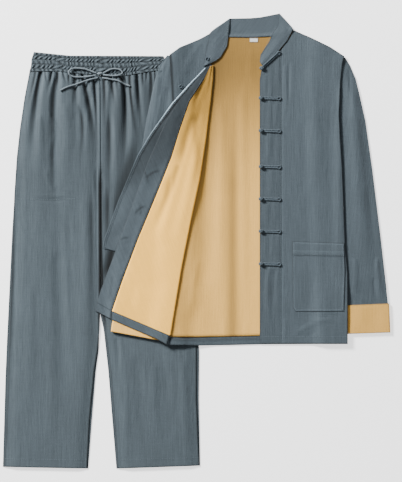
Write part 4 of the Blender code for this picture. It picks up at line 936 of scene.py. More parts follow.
body_cloth = woven_cloth("jacket_cotton", JACKET_TONE)
lining_cloth = woven_cloth("back_lining_cotton", LINING_TONE, slub=0.13, mottle=0.06, depth=0.4)
rows = shares(BACK_LONG, BODY_CELL)
plan = patch(BACK_RIGHT_SIDE, BACK_LEFT_SIDE, BACK_HEM, BACK_TOP, shares(BACK_WIDE, BODY_CELL), rows)
z = clear(soften(heights(["jacket_back"], plan), 5), plan, SHELL)
sheet = points_at(plan, z)
obj = make_wall("jacket_back_cloth", soft_rim(sheet), sheet - (0, 0, SHELL), body_cloth)
hand_over(obj, ["jacket_back"])
pile(sheet)

hem_row = int(np.searchsorted(rows * BACK_LONG, HEM_STRIP))
z = clear(z, plan, INNER) + creases(plan, LINING_FOLDS)
z = clear(z, plan, INNER, passes=1)
inner = points_at(plan, z)
tone = read_off(plan[..., 1], NECK_SHADE)
# Painted shade along the middle fold of the lining, in its lower part.
band = np.clip((0.36 - plan[..., 1]) / 0.22, 0.0, 1.0)
tone = tone * (1.0 - 0.50 * band * np.exp(-((plan[..., 0] - MIDDLE_FOLD_X) / 0.015) ** 2))
# Painted shadow of the turned front on the lining beside the roll line.
roll_x = read_off(plan[..., 1], [(y, x) for x, y in ROLL_LINE]) * CM
tone = tone * (1.0 - 0.55 * np.exp(-np.clip(plan[..., 0] - roll_x, 0.0, 1.0) / 0.026))
part = inner[hem_row:]
obj = make_wall("jacket_back_lining_cloth", soft_rim(part, 0.0003), part - (0, 0, INNER), lining_cloth,
                tone=tone[hem_row:])
hand_over(obj, ["jacket_back_lining"])
pile(part)
part = inner[:hem_row].copy()
part[-1, :, 1] += 0.0005
part[..., 2] += 0.0003
obj = make_wall("jacket_back_hem_cloth", soft_rim(part, 0.0004), part - (0, 0, 0.0009), body_cloth,
                painted_rim_shading=(0.4, 0.7))
hand_over(obj, ["jacket_back_hem_facing"])
pile(part)

# Left front
# The front that lies closed, one panel of the blue cotton over the lining.
# It has a stitched band down its front edge and a seam to the back along the side and shoulder.
FRONT_EDGE = ((15.5, -25.2), (15.5, 39.5), (16.1, 42.8))
LEFT_NECK_AND_SHOULDER = ((16.1, 42.8), (19.3, 45.5), (20.7, 47.0), (22.2, 48.9), (23.1, 50.3), (23.7, 51.7),
                          (27.8, 49.9), (32.7, 47.5), (36.2, 45.2))
LEFT_FRONT_CREASES = (
    (35.9, 42.0, 34.9, 12.0, 36.8, -25.0, 1.5, 3.2),
    (17.0, 41.0, 16.8, 36.0, 17.0, 29.0, 0.45, 0.9),
    (18.3, 43.0, 18.0, 30.0, 18.3, 19.5, 0.6, 1.0),
    (19.4, 34.0, 19.5, 30.0, 19.3, 27.8, 0.5, 0.8),
    (17.4, 26.4, 17.6, 22.0, 17.3, 19.0, 0.5, 0.9),
    (19.1, 26.2, 19.0, 22.0, 19.2, 19.0, 0.5, -0.8),
    (18.4, 17.6, 18.6, 14.0, 18.3, 11.0, 0.5, 0.9),
    (17.0, 17.2, 16.9, 14.0, 17.1, 11.0, 0.4, -0.8),
    (17.4, 9.6, 17.3, 6.5, 17.5, 3.2, 0.5, 0.9),
    (19.0, 9.6, 19.2, 6.5, 19.0, 3.2, 0.5, 0.7),
    (18.5, 1.8, 18.6, -1.5, 18.4, -4.8, 0.5, 0.9),
    (17.0, 1.6, 17.0, -1.0, 17.2, -4.8, 0.4, 0.7),
    (18.3, -6.4, 17.4, -11.0, 17.7, -22.0, 0.7, 1.6),
    (19.4, -6.6, 18.9, -12.0, 18.8, -23.0, 0.6, -1.1),
    (16.6, -7.4, 16.5, -13.0, 16.7, -22.0, 0.4, -0.7),
    (21.7, 43.5, 21.9, 38.0, 22.1, 31.0, 0.5, 1.0),
    (23.4, 44.5, 23.4, 38.0, 23.2, 31.0, 0.6, 0.8),
    (22.6, 44.0, 22.7, 38.0, 22.6, 32.0, 0.4, -0.7),
    (20.1, 45.0, 20.0, 41.0, 20.1, 36.0, 0.4, 0.7),
    (29.6, 34.0, 29.4, 22.0, 30.2, 10.0, 2.2, 1.1),
    (26.2, 30.0, 26.6, 20.0, 26.4, 8.0, 1.5, -0.8),
    (33.4, 36.0, 33.0, 22.0, 33.6, 6.0, 1.4, -0.9),
    (27.4, -17.9, 31.5, -18.6, 36.4, -17.9, 0.5, -0.9),
    (27.6, -18.9, 31.0, -19.4, 35.6, -18.7, 0.6, 0.9),
    (24.4, -22.6, 27.6, -20.8, 31.6, -18.4, 0.7, 1.1),
    (26.2, -24.0, 28.4, -22.6, 31.0, -21.0, 0.6, -0.7),
    (21.6, -19.0, 21.8, -21.6, 21.4, -24.6, 0.6, 0.8),
)
EDGE_SEAM_X = 20.7
FRONT_WIDE = 0.205
FRONT_LONG = 0.76

rows = shares(FRONT_LONG, 0.0036)
plan = patch(FRONT_EDGE, BACK_LEFT_SIDE, ((15.5, -25.2), (37.0, -25.2)), LEFT_NECK_AND_SHOULDER,
             shares(FRONT_WIDE, 0.0028), rows)
z = soften(heights(["jacket_left_front"], plan), 5) + creases(plan, LEFT_FRONT_CREASES)
past_seam = plan[..., 0] - EDGE_SEAM_X * CM
z = z - 0.0005 * np.exp(-(past_seam / 0.0030) ** 2)
z = clear(z, plan, SHELL, passes=1)
sheet = points_at(plan, z)
# Painted shade in the groove of the edge seam and a painted highlight just beyond it; the band along the
# front edge is a little darker.
tone = 1.0 - 0.30 * np.exp(-(past_seam / 0.0018) ** 2)
tone = tone + 0.20 * np.exp(-((past_seam - 0.0035) / 0.0020) ** 2)
tone = tone * (1.0 - 0.10 * (past_seam < 0))
obj = make_wall("jacket_left_front_cloth", soft_rim(sheet), sheet - (0, 0, SHELL), body_cloth, tone=tone,
                painted_rim_shading=(0.32, 0.6))
hand_over(obj, ["jacket_left_front"])
pile(sheet)

# Pocket
# A patch of the jacket cotton with a deep top hem, stitched twice.
# It is sewn onto the left front along its sides and its rounded foot.
POCKET_LEFT = ((24.3, -17.3), (23.6, -16.4), (23.5, -4.6), (23.5, 0.0))
POCKET_RIGHT = ((36.1, -17.2), (36.4, -7.1), (36.1, -0.5))
POCKET_HEM = 0.034
POCKET_WIDE = 0.126
POCKET_TALL = 0.172
POCKET_CELL = 0.0026

rows = shares(POCKET_TALL, POCKET_CELL)
plan = patch(POCKET_LEFT, POCKET_RIGHT, ((24.3, -17.3), (36.1, -17.2)), ((23.5, 0.0), (36.1, -0.5)),
             shares(POCKET_WIDE, POCKET_CELL), rows)
z = soften(heap_under(plan, 1), 3) + 0.0009
past_hem = np.broadcast_to((1 - rows[:, None]) * POCKET_TALL - POCKET_HEM, z.shape)
z = z + 0.0006 * (past_hem < 0) - 0.0005 * np.exp(-(past_hem / 0.002) ** 2)
sheet = points_at(plan, z)
# Painted shade in the groove under the hem and a painted highlight along the hem band; the rim shares paint
# shade on the edges and a highlight just inside them.
tone = 1.0 - 0.25 * np.exp(-(past_hem / 0.0022) ** 2)
tone = tone + 0.22 * np.exp(-((past_hem + 0.010) / 0.0022) ** 2)
obj = make_wall("jacket_pocket_cloth", soft_rim(sheet, 0.0003), sheet - (0, 0, INNER), body_cloth, tone=tone,
                painted_rim_shading=(0.45, 0.6, 1.3, 1.15))
hand_over(obj, ["jacket_pocket"])
pile(sheet)

# Right front
# The other front of the blue cotton, sewn to the back along the side and shoulder.
# It lies over the back, rolls over along a soft line and is turned back on itself, inside out.
SIDE_LINE = ((-8.0, -25.3), (-7.4, -22.9), (-6.6, -7.0), (-6.2, -0.5), (-5.6, 17.9), (-5.5, 24.8),
             (-5.7, 30.9), (-6.3, 40.7), (-6.6, 45.5))
RIGHT_SHOULDER = ((-6.6, 45.5), (-4.0, 47.4), (0.9, 49.5), (3.3, 50.8))
SHOULDER_BEND = 0.30
RIGHT_NECK = ((3.9, 42.9), (2.1, 44.6), (2.6, 47.8), (3.1, 49.5), (3.3, 50.8))
ROLL_WAY = (1.0, 0.12, 0.0)
TURNED_EDGE = ((-24.3, -15.0), (-23.4, -12.0), (-19.7, -2.2), (-16.0, 8.1), (-11.6, 19.9), (-7.2, 29.7),
               (-4.0, 34.6), (0.9, 40.5), (2.8, 42.7))
LINING_EDGE = ((-20.6, -17.1), (-18.0, -9.5), (-14.3, 0.3), (-8.9, 13.3), (-6.0, 20.6), (-4.0, 27.2),
               (-1.6, 34.1), (0.6, 37.5), (1.9, 39.5), (3.4, 42.8))
TURNED_HEM = ((-24.8, -17.1), (-20.7, -19.2), (-12.6, -22.7), (-10.1, -23.7), (-7.2, -25.3))
HEM_JOIN = 0.235
STRIP_OUTER = ((-22.9, -1.7), (-22.6, 0.3), (-19.0, 10.1), (-14.3, 21.1), (-11.4, 26.0), (-6.0, 33.6),
               (-1.6, 38.5), (2.1, 42.4))
STRIP_INNER = ((-18.5, -2.9), (-17.7, -0.2), (-13.8, 10.8), (-9.4, 22.1), (-7.0, 27.2), (-2.8, 33.6),
               (0.1, 37.5), (3.0, 41.4))
TURNED_CREASES = (
    (0.4, 31.5, -3.2, 24.0, -4.6, 16.5, 1.6, -2.6),
    (-4.3, 19.5, -7.0, 11.8, -11.6, 1.0, 1.2, -2.4),
    (0.8, 36.0, -5.6, 15.0, -14.0, -9.0, 1.0, -1.6),
    (2.4, 36.0, -1.6, 14.0, -9.4, -18.0, 1.3, 1.3),
    (-1.6, 30.0, -6.8, 14.0, -12.6, -2.0, 0.8, 1.2),
    (-14.6, -10.0, -15.7, -14.0, -15.6, -18.8, 0.55, -1.6),
    (-13.6, -11.0, -14.4, -14.5, -14.2, -19.4, 0.6, 1.0),
    (-4.4, 18.6, -7.0, 13.5, -10.0, 8.4, 0.8, -1.3),
    (-9.6, 5.0, -12.4, -1.0, -14.6, -8.0, 0.8, -0.9),
    (-4.6, 2.0, -7.0, -8.0, -10.4, -18.0, 1.6, -0.9),
    (-16.4, 8.4, -14.7, 7.4, -12.8, 8.2, 0.45, 1.8),
    (-15.4, 9.6, -14.2, 8.3, -13.6, 6.6, 0.4, -1.8),
    (-13.4, 8.8, -12.9, 7.6, -13.2, 6.2, 0.4, 1.6),
    (-18.0, 0.6, -17.2, 0.0, -16.2, 0.9, 0.4, 2.0),
    (-17.6, 0.0, -16.9, -0.6, -16.0, 0.2, 0.35, -1.8),
    (-10.2, 17.0, -9.6, 15.8, -10.0, 14.0, 0.4, 1.8),
    (-9.2, 17.6, -8.8, 16.0, -9.2, 14.6, 0.4, -1.6),
    (-20.6, -4.0, -19.0, -4.6, -17.2, -3.4, 0.5, 0.8),
    (-21.8, -9.0, -20.8, -13.4, -21.2, -17.4, 0.6, 0.8),
    (-5.0, 30.0, -8.0, 22.0, -12.0, 12.0, 0.7, 0.9),
)

TURNED_CELL = 0.0040
HEM_BAND = 0.03
LOWER_WIDE = 0.09
NECK_LONG = 0.08
STRIP_WIDE = 0.045
STRIP_LONG = 0.50
FACING_WIDE = 0.036
FACING_CELL = 0.003
PANEL_WIDE = 0.12
ROLL_ANGLES = (-68, -40, -12, 16, 44, 72)


def half_round(middle, way, reach, angles):
    """Columns of points going round a roll, at a reach from its middle line."""
    columns = []
    for angle in np.radians(angles):
        spot = middle + way * (reach * math.cos(angle))[:, None]
        spot[:, 2] += reach * math.sin(angle)
        columns.append(spot)
    return np.stack(columns, axis=1)


vs = shares(FRONT_LONG, TURNED_CELL)
hem_vs = shares(HEM_BAND, TURNED_CELL)
roll = line_at(ROLL_LINE, vs)
hem_corner = np.array(TURNED_HEM[-1:]) * CM
hem_part = hem_corner * (1 - hem_vs[:-1, None]) + roll[:1] * hem_vs[:-1, None]
edge = np.concatenate([hem_part, roll, line_at(RIGHT_NECK, shares(NECK_LONG, TURNED_CELL))[1:]])
side_line = np.array(SIDE_LINE) * CM
side_y = np.minimum(edge[:, 1], side_line[-1, 1])
side_x = np.interp(side_y, side_line[:, 1], side_line[:, 0])
low_us = shares(LOWER_WIDE, TURNED_CELL)
lower = (np.column_stack([side_x, side_y])[:, None] * (1 - low_us[None, :, None])
         + edge[:, None] * low_us[None, :, None])
bend = line_at(RIGHT_SHOULDER, low_us) - lower[-1]
rise = np.clip((edge[:, 1] - SHOULDER_BEND) / (edge[-1, 1] - SHOULDER_BEND), 0, 1)[:, None, None]
lower = lower + bend[None] * rise * rise * (3 - 2 * rise)
low_z = clear(soften(heap_under(lower, 1), 3), lower, SHELL, passes=4)
puff = np.exp(-((lower[..., 0] + 0.050) / 0.022) ** 2) * np.clip((lower[..., 1] - 0.20) / 0.1, 0, 1)
low_z = low_z + 0.0018 * puff + creases(lower, ((1.6, 49.0, -1.6, 44.0, -3.6, 37.0, 0.9, 0.8),))
low_sheet = points_at(lower, low_z)
pile(low_sheet)

strip_plan = patch(STRIP_OUTER, STRIP_INNER, (STRIP_OUTER[0], STRIP_INNER[0]),
                   (STRIP_OUTER[-1], STRIP_INNER[-1]), shares(STRIP_WIDE, FACING_CELL),
                   shares(STRIP_LONG, TURNED_CELL))
z = clear(soften(heights(["jacket_placket_strip"], strip_plan), 3), strip_plan, SHELL, passes=2)
strip_in = np.linalg.norm(strip_plan - strip_plan[:, :1], axis=-1)
strip_z = z + 0.0016 * np.exp(-(strip_in / 0.0035) ** 2)

# Plan of the turned part: rows from its hem up, columns from its free edge to the roll
facing_us = shares(FACING_WIDE, FACING_CELL)
panel_us = shares(PANEL_WIDE, TURNED_CELL)
front_edge = line_at(TURNED_EDGE, vs)
lining_edge = line_at(LINING_EDGE, vs)
u = facing_us[None, :, None]
facing_plan = front_edge[:, None] * (1 - u) + lining_edge[:, None] * u
u = panel_us[None, 1:, None]
turned = np.concatenate([facing_plan, lining_edge[:, None] * (1 - u) + roll[:, None] * u], axis=1)
hem_us = np.concatenate([facing_us * HEM_JOIN, HEM_JOIN + (1 - HEM_JOIN) * panel_us[1:]])
hem_line = line_at(TURNED_HEM, hem_us)[None]
v = hem_vs[:-1, None, None]
turned = np.concatenate([hem_line * (1 - v) + turned[:1] * v, turned], axis=0)
strip_sheet = points_at(strip_plan, strip_z)
pile(strip_sheet)
z = soften(heights(["jacket_right_front"], turned), 5) + creases(turned, TURNED_CREASES)
z = clear(z, turned, SHELL, passes=4)
turned_sheet = points_at(turned, z)

# The roll joins the two layers as a half round
missing = low_sheet.shape[0] - turned_sheet.shape[0]
upper_layer = np.concatenate([turned_sheet, np.repeat(turned_sheet[-1:], missing, axis=0)])[:, ::-1]
way = np.array(ROLL_WAY) / np.linalg.norm(ROLL_WAY)
start = low_sheet[:, -1] - (0, 0, SHELL)
end = upper_layer[:, 0]
radius = (end[:, 2] - start[:, 2]) / 2
middle = (start + end) / 2
outer_roll = half_round(middle, way, radius, ROLL_ANGLES)
inner_roll = half_round(middle, way, radius - SHELL, ROLL_ANGLES)
outside = np.concatenate([low_sheet - (0, 0, SHELL), outer_roll, upper_layer], axis=1)
inside = np.concatenate([low_sheet, inner_roll, upper_layer - (0, 0, SHELL)], axis=1)
kept = np.ones((outside.shape[0] - 1, outside.shape[1] - 1), bool)
kept[turned_sheet.shape[0] - 1:, lower.shape[1] - 1:] = False
tone = np.ones(outside.shape[:2])
# Painted shadow along the side and armhole edge, growing towards the shoulder.
tone[:, :3] *= 1.0 - 0.68 * np.clip((outside[:, :1, 1] - 0.30) / 0.04, 0.0, 1.0)
obj = make_wall("jacket_right_front_cloth", outside, inside, body_cloth, kept=kept, tone=tone)
hand_over(obj, ["jacket_right_front"])
pile(turned_sheet)

# Right front's inside
# The blue facing down its edge, the soft tan lining beside it and the blue hem facing below.
# They are sewn edge to edge inside the front, and all show now that it is turned back.
# The turned lining is the same cloth as the back lining, given a brighter copy of its colour as painted
# light.
TURNED_TONE = (0.600, 0.318, 0.047)

panel_cloth = woven_cloth("turned_lining_cotton", TURNED_TONE, turn=-20.0, slub=0.13, mottle=0.06, depth=0.4)
facing_cloth = woven_cloth("turned_facing_cotton", JACKET_TONE, turn=-22.0)
WRAP_ANGLES = (70, 46, 22, -2, -26)
# Soft shade towards the shoulder: y in cm, share of the cloth's tone
FACING_SHADE = ((-17.0, 0.95), (5.0, 0.98), (12.5, 1.0), (17.4, 0.68), (22.3, 0.52), (26.0, 0.44),
                (42.0, 0.40))
# Painted light low on the turned lining and painted shade towards the shoulder: y in cm, share of the
# cloth's tone
PANEL_SHADE = ((-20.0, 1.62), (8.0, 1.62), (15.0, 1.55), (20.0, 1.45), (26.0, 1.05), (32.0, 0.62),
               (37.0, 0.50))
# Painted shade on the placket strip towards the shoulder: y in cm, share of the cloth's tone
STRIP_SHADE = ((-2.0, 0.88), (8.0, 0.88), (12.5, 0.78), (17.4, 0.50), (26.0, 0.42), (42.0, 0.38))
# Painted shade for wrinkles where knot and loop stitches pull: x and y of three places, half width, shade in
# thousandths
FACING_MARKS = (
    (-12.6, 15.0, -10.8, 16.6, -8.6, 17.2, 0.45, 500),
    (-13.0, 17.6, -12.2, 15.8, -12.0, 13.6, 0.35, 380),
    (-15.2, 6.2, -13.8, 8.0, -12.0, 8.4, 0.45, 500),
    (-14.0, 9.6, -13.6, 7.6, -13.8, 5.8, 0.35, 380),
    (-18.6, 0.1, -17.5, 0.8, -16.4, 0.5, 0.4, 520),
    (-20.6, -8.0, -20.9, -11.5, -21.6, -15.0, 0.5, 260),
)
over = turned_sheet + (0, 0, INNER + 0.0003)
join = len(facing_us)
rows_hem = len(hem_vs)
facing = over[:, :join].copy()
facing[:, 0, :2] += (facing[:, 1, :2] - facing[:, 0, :2]) * 0.4
tone = read_off(facing[..., 1], FACING_SHADE)
for row in FACING_MARKS:
    tone = tone * (1.0 - crease(facing[..., :2], row, spread=0.2, start=0.2, end=0.3))
# Painted shade along the seam to the lining, along the outer edge and by the hem facing.
tone[:, -3:] *= 0.42
tone[:, :1] *= 0.7
tone[rows_hem - 2:rows_hem] *= 0.55
obj = make_wall("jacket_right_facing_cloth", soft_rim(facing), facing - (0, 0, INNER), facing_cloth,
                tone=tone)
hand_over(obj, ["jacket_right_facing"])
pile(facing)
panel = over[rows_hem - 1:, join - 1:].copy()
panel[..., 2] += 0.0002
panel[:, 0, :2] += (panel[:, 1, :2] - panel[:, 0, :2]) * 0.12
roll_middle = middle[rows_hem - 1:len(over)]
round_out = radius[rows_hem - 1:len(over)] + INNER + 0.0005
wrap = half_round(roll_middle, way, round_out, WRAP_ANGLES)
under = half_round(roll_middle, way, round_out - INNER, WRAP_ANGLES)
panel_under = np.concatenate([panel - (0, 0, INNER), under], axis=1)
panel = np.concatenate([panel, wrap], axis=1)
tone = read_off(panel[..., 1], PANEL_SHADE)
# Painted shade in the two long creases of the turned lining.
trough = np.zeros(panel.shape[:2])
for row in TURNED_CREASES[:2]:
    trough = np.maximum(trough, -crease(panel[..., :2], row, spread=0.2))
tone = tone * (1.0 - 0.40 * np.clip(trough / 0.0024, 0.0, 1.0))
# Painted light along the edge by the facing and round the roll.
tone[:, :2] *= 1.25
tone[:, -5:] *= 1.25
obj = make_wall("jacket_right_lining_cloth", panel, panel_under, panel_cloth, tone=tone, painted_rim_shading=())
hand_over(obj, ["jacket_right_lining"])
pile(panel)
hem = over[:rows_hem, join - 1:].copy()
hem[..., 2] += 0.0003
obj = make_wall("jacket_right_hem_cloth", soft_rim(hem, 0.0004), hem - (0, 0, INNER), facing_cloth,
                painted_rim_shading=(0.3, 0.6))
hand_over(obj, ["jacket_right_hem_facing"])
pile(hem)

# Placket strip
# A doubled strip of the jacket cotton, sewn inside the front edge to lie behind the buttons.
# It shows beyond the edge of the turned front; its raised fold carries a painted highlight, with painted
# shade beside it.
# Painted shade in a valley beside the fold and a painted highlight on the fold, both growing towards the
# shoulder.
glow = np.clip((strip_plan[..., 1] - 0.14) / 0.22, 0.0, 1.0)
tone = read_off(strip_plan[..., 1], STRIP_SHADE)
tone = tone * (1.0 - 0.8 * glow * np.exp(-((strip_in - 0.0068) / 0.0028) ** 2))
tone = tone + 9.0 * glow ** 2 * np.exp(-(strip_in / 0.0026) ** 4)
obj = make_wall("jacket_placket_cloth", soft_rim(strip_sheet, 0.0004), strip_sheet - (0, 0, SHELL),
                facing_cloth, tone=tone, painted_rim_shading=())
hand_over(obj, ["jacket_placket_strip"])

# Collar
# A stand collar of two layers of the blue cotton, sewn to the neck and pressed flat.
# Its middle lies at the back, and both ends fold forward at the shoulders.
COLLAR = {
    "right": (((1.7, 42.8), (2.1, 45.6), (2.6, 47.8), (3.3, 50.9)),
              ((3.1, 43.3), (5.0, 44.3), (6.0, 45.1), (7.5, 47.6), (7.7, 48.8), (8.3, 54.5))),
    "back": (((3.3, 50.6), (8.2, 49.9), (13.1, 49.8), (18.5, 50.1), (23.7, 51.5)),
             ((8.3, 54.5), (13.1, 54.6), (15.6, 54.8), (20.2, 55.7))),
    "left": (((23.7, 51.8), (22.2, 49.0), (19.3, 45.6), (16.1, 42.9)),
             ((20.2, 55.7), (19.9, 52.5), (18.8, 51.1), (17.8, 48.8), (15.7, 45.6), (15.5, 43.9))),
}
COLLAR_WAYS = {"right": (-0.9, 0.43, 0.0), "left": (0.86, 0.51, 0.0)}
COLLAR_CLOTH = 0.0012
# The collar cotton is a little darker than the jacket's, as painted shade.
COLLAR_TONE = (0.052, 0.068, 0.080)
COLLAR_TALL = 0.055
COLLAR_CELL = 0.0035

collar_cloth = woven_cloth("collar_cotton", COLLAR_TONE, turn=35.0)
across = shares(COLLAR_TALL, COLLAR_CELL)
bands = {}
for part, (neck, free) in COLLAR.items():
    long = shares(max(length_of(neck), length_of(free)), COLLAR_CELL)
    u = across[None, :, None]
    plan = line_at(neck, long)[:, None] * (1 - u) + line_at(free, long)[:, None] * u
    bands[part] = plan
z = clear(soften(heap_under(bands["back"], 0), 4), bands["back"], COLLAR_CLOTH, passes=2)
back_band = points_at(bands["back"], z)
pile(back_band)
ends = {}
for part in ("right", "left"):
    z = soften(heights(["jacket_collar"], bands[part]), 4)
    z = clear(z, bands[part], COLLAR_CLOTH, passes=3)
    lean = 0.0012 * np.sin(math.pi * across[None, :]) ** 2
    ends[part] = points_at(bands[part], z + lean)


def collar_fold(upper, lower, way, shrink):
    radius = (upper[:, 2] - lower[:, 2] + COLLAR_CLOTH) / 2
    rows = []
    for angle in np.radians((50, 0, -50)):
        spot = (upper + lower) / 2 + np.array(way) * ((radius - shrink) * math.cos(angle))[:, None]
        spot[:, 2] = lower[:, 2] - COLLAR_CLOTH + radius + (radius - shrink) * math.sin(angle)
        rows.append(spot)
    return np.stack(rows)


skins = []
for shrink in (0.0, COLLAR_CLOTH):
    right_fold = collar_fold(ends["right"][-1], back_band[0], COLLAR_WAYS["right"], shrink)
    left_fold = collar_fold(ends["left"][0], back_band[-1], COLLAR_WAYS["left"], shrink)[::-1]
    drop = (0, 0, shrink)
    back_drop = (0, 0, COLLAR_CLOTH - shrink)
    skins.append(np.concatenate([ends["right"] - drop, right_fold, back_band - back_drop, left_fold,
                                 ends["left"] - drop]))
obj = make_wall("jacket_collar_cloth", skins[0], skins[1], collar_cloth)
hand_over(obj, ["jacket_collar"])
for part in ends.values():
    pile(part)

# Neck label
# A small tab of plain white woven ribbon, folded double.
# It is sewn under the collar, near the middle of the back.
LABEL = (14.1, 49.7, 2.0, 1.0)
LABEL_TONE = (0.60, 0.60, 0.58)
LABEL_CLOTH = 0.0004

label_cloth = woven_cloth("label_satin", LABEL_TONE, slub=0.03, mottle=0.03, depth=0.15)
x, y, width, height = LABEL
low = ((x - width / 2, y - height), (x + width / 2, y - height))
high = ((x - width / 2, y), (x + width / 2, y))
plan = patch((low[0], high[0]), (low[1], high[1]), low, high, shares(0.024, 0.002), shares(0.011, 0.002))
z = heap_under(plan, 1) + 0.0008
obj = make_wall("jacket_neck_label_cloth", points_at(plan, z), points_at(plan, z - LABEL_CLOTH), label_cloth)
hand_over(obj, ["jacket_neck_label"])

# Frog buttons
# Seven fastenings of stitched cloth cord, sewn to the left front.
# Each is a bound ball knot on a doubled strap that ends in a small eye.
FROG_Y = (35.0, 27.0, 18.2, 10.3, 2.4, -5.6)
KNOT_X = 15.8
NECK_FROG = ((16.0, 42.3), (20.4, 46.2))
STRAP_LENGTH = 4.8
STRAP_DROP = 0.15
STRAP_GIRTH = 0.0036
STRAP_APART = 0.0019
EYE = 0.0034
KNOT_SIZE = (0.0112, 0.0112, 0.0085)
KNOT_GIRTH = 0.0037
FROG_TONE = (0.050, 0.068, 0.082)

frog_cotton = twisted_cord("frog_cotton", FROG_TONE, 0.004, turns_round=1.0)
frogs = [NECK_FROG] + [((KNOT_X, y), (KNOT_X + STRAP_LENGTH, y - STRAP_DROP)) for y in FROG_Y]
for number, (knot, end) in enumerate(frogs, start=1):
    a = np.array(knot) * CM
    b = np.array(end) * CM
    long = np.linalg.norm(b - a)
    way = (b - a) / long
    side = np.array((-way[1], way[0]))
    path = []
    for s in np.linspace(KNOT_SIZE[0] * 0.55, long - 2.2 * EYE, 14):
        path.append(a + way * s + side * STRAP_APART)
    for angle in np.radians(np.linspace(120, -120, 11)):
        path.append(b - way * EYE + EYE * (way * math.cos(angle) + side * math.sin(angle)))
    for s in np.linspace(long - 2.2 * EYE, KNOT_SIZE[0] * 0.55, 14):
        path.append(a + way * s - side * STRAP_APART)
    path = np.array(path)
    need = heap_under(path[None], 1)[0]
    z = np.maximum(np.convolve(np.pad(need, 2, mode="edge"), np.full(5, 0.2), mode="valid"), need)
    route = np.column_stack([path, z + 0.0017])
    obj = make_cord(f"frog_strap_{number}_cord", route, STRAP_GIRTH, frog_cotton, flatness=0.85, around=10)
    hand_over(obj, [f"frog_strap_{number}"])
    rest = heap_under(a[None, None], 2)[0, 0]
    obj = bind_knot(f"frog_knot_{number}_ball", (*a, rest + KNOT_SIZE[2] / 2), KNOT_SIZE, KNOT_GIRTH,
                    frog_cotton)
    hand_over(obj, [f"frog_knot_{number}"])

# Button loops
# The eyes of thin cloth cord that take the knots, caught into the right front's edge.
# Two of them show, at the neck and part way down.
LOOPS = ((2.5, 44.3, 60.0), (-3.6, 38.0, -140.0))
LOOP_GIRTH = 0.0024

for number, (x, y, heading) in enumerate(LOOPS, start=1):
    turn = math.radians(heading)
    path = []
    for angle in np.radians(np.linspace(-135, 135, 19)):
        out = 0.0042 * math.cos(angle) + 0.003
        up = 0.0034 * math.sin(angle)
        path.append((x * CM + out * math.cos(turn) - up * math.sin(turn),
                     y * CM + out * math.sin(turn) + up * math.cos(turn)))
    path = np.array(path)
    rest = heap_under(path[None], 1)[0]
    rest = np.maximum(rest, rest.max() - 0.0006)
    route = np.column_stack([path, rest + LOOP_GIRTH / 2 + 0.0002])
    obj = make_cord(f"frog_loop_{number}_cord", route, LOOP_GIRTH, frog_cotton, around=10)
    hand_over(obj, [f"frog_loop_{number}"])

# Stitching
# Running seams in cotton thread, laid along every edge that is sewn down.
# One node tool makes the stitches, and each seam gives it a line on the cloth.
THREAD_TONE = (0.095, 0.125, 0.145)
THREAD_GIRTH = 0.0007
STITCH_LENGTH = 0.0030
STITCH_PITCH = 0.0044


def stitch_tool():
    """Node group: puts one short rounded stitch at every pitch along a line of edges."""
    group = bpy.data.node_groups.new("running_stitch", 'GeometryNodeTree')
    for label, kind in (("Line", 'NodeSocketGeometry'), ("Pitch", 'NodeSocketFloat'),
                        ("Length", 'NodeSocketFloat'), ("Girth", 'NodeSocketFloat'),
                        ("Thread", 'NodeSocketMaterial')):
        group.interface.new_socket(label, in_out='INPUT', socket_type=kind)
    group.interface.new_socket("Stitches", in_out='OUTPUT', socket_type='NodeSocketGeometry')
    given = group.nodes.new("NodeGroupInput")
    made = group.nodes.new("NodeGroupOutput")
    curve = group.nodes.new("GeometryNodeMeshToCurve")
    even = group.nodes.new("GeometryNodeResampleCurve")
    even.mode = 'LENGTH'
    ball = group.nodes.new("GeometryNodeMeshUVSphere")
    ball.inputs["Segments"].default_value = 6
    ball.inputs["Rings"].default_value = 4
    ball.inputs["Radius"].default_value = 0.5
    tangent = group.nodes.new("GeometryNodeInputTangent")
    turn = group.nodes.new("FunctionNodeAlignRotationToVector")
    turn.axis = 'X'
    size = group.nodes.new("ShaderNodeCombineXYZ")
    lay = group.nodes.new("GeometryNodeInstanceOnPoints")
    real = group.nodes.new("GeometryNodeRealizeInstances")
    dye = group.nodes.new("GeometryNodeSetMaterial")
    links = group.links
    links.new(given.outputs["Line"], curve.inputs["Mesh"])
    links.new(curve.outputs["Curve"], even.inputs["Curve"])
    links.new(given.outputs["Pitch"], even.inputs["Length"])
    links.new(even.outputs["Curve"], lay.inputs["Points"])
    links.new(ball.outputs["Mesh"], lay.inputs["Instance"])
    links.new(tangent.outputs["Tangent"], turn.inputs["Vector"])
    links.new(turn.outputs["Rotation"], lay.inputs["Rotation"])
    links.new(given.outputs["Length"], size.inputs["X"])
    links.new(given.outputs["Girth"], size.inputs["Y"])
    links.new(given.outputs["Girth"], size.inputs["Z"])
    links.new(size.outputs["Vector"], lay.inputs["Scale"])
    links.new(lay.outputs["Instances"], real.inputs["Geometry"])
    links.new(real.outputs["Geometry"], dye.inputs["Geometry"])
    links.new(given.outputs["Thread"], dye.inputs["Material"])
    links.new(dye.outputs["Geometry"], made.inputs["Stitches"])
    return group


def thread(name, colour):
    mat = bpy.data.materials.new(name)
    mat.use_nodes = True
    shader = mat.node_tree.nodes["Principled BSDF"]
    shader.inputs["Base Color"].default_value = (*colour, 1.0)
    shader.inputs["Roughness"].default_value = 0.6
    shader.inputs["Sheen Weight"].default_value = 0.2
    return mat


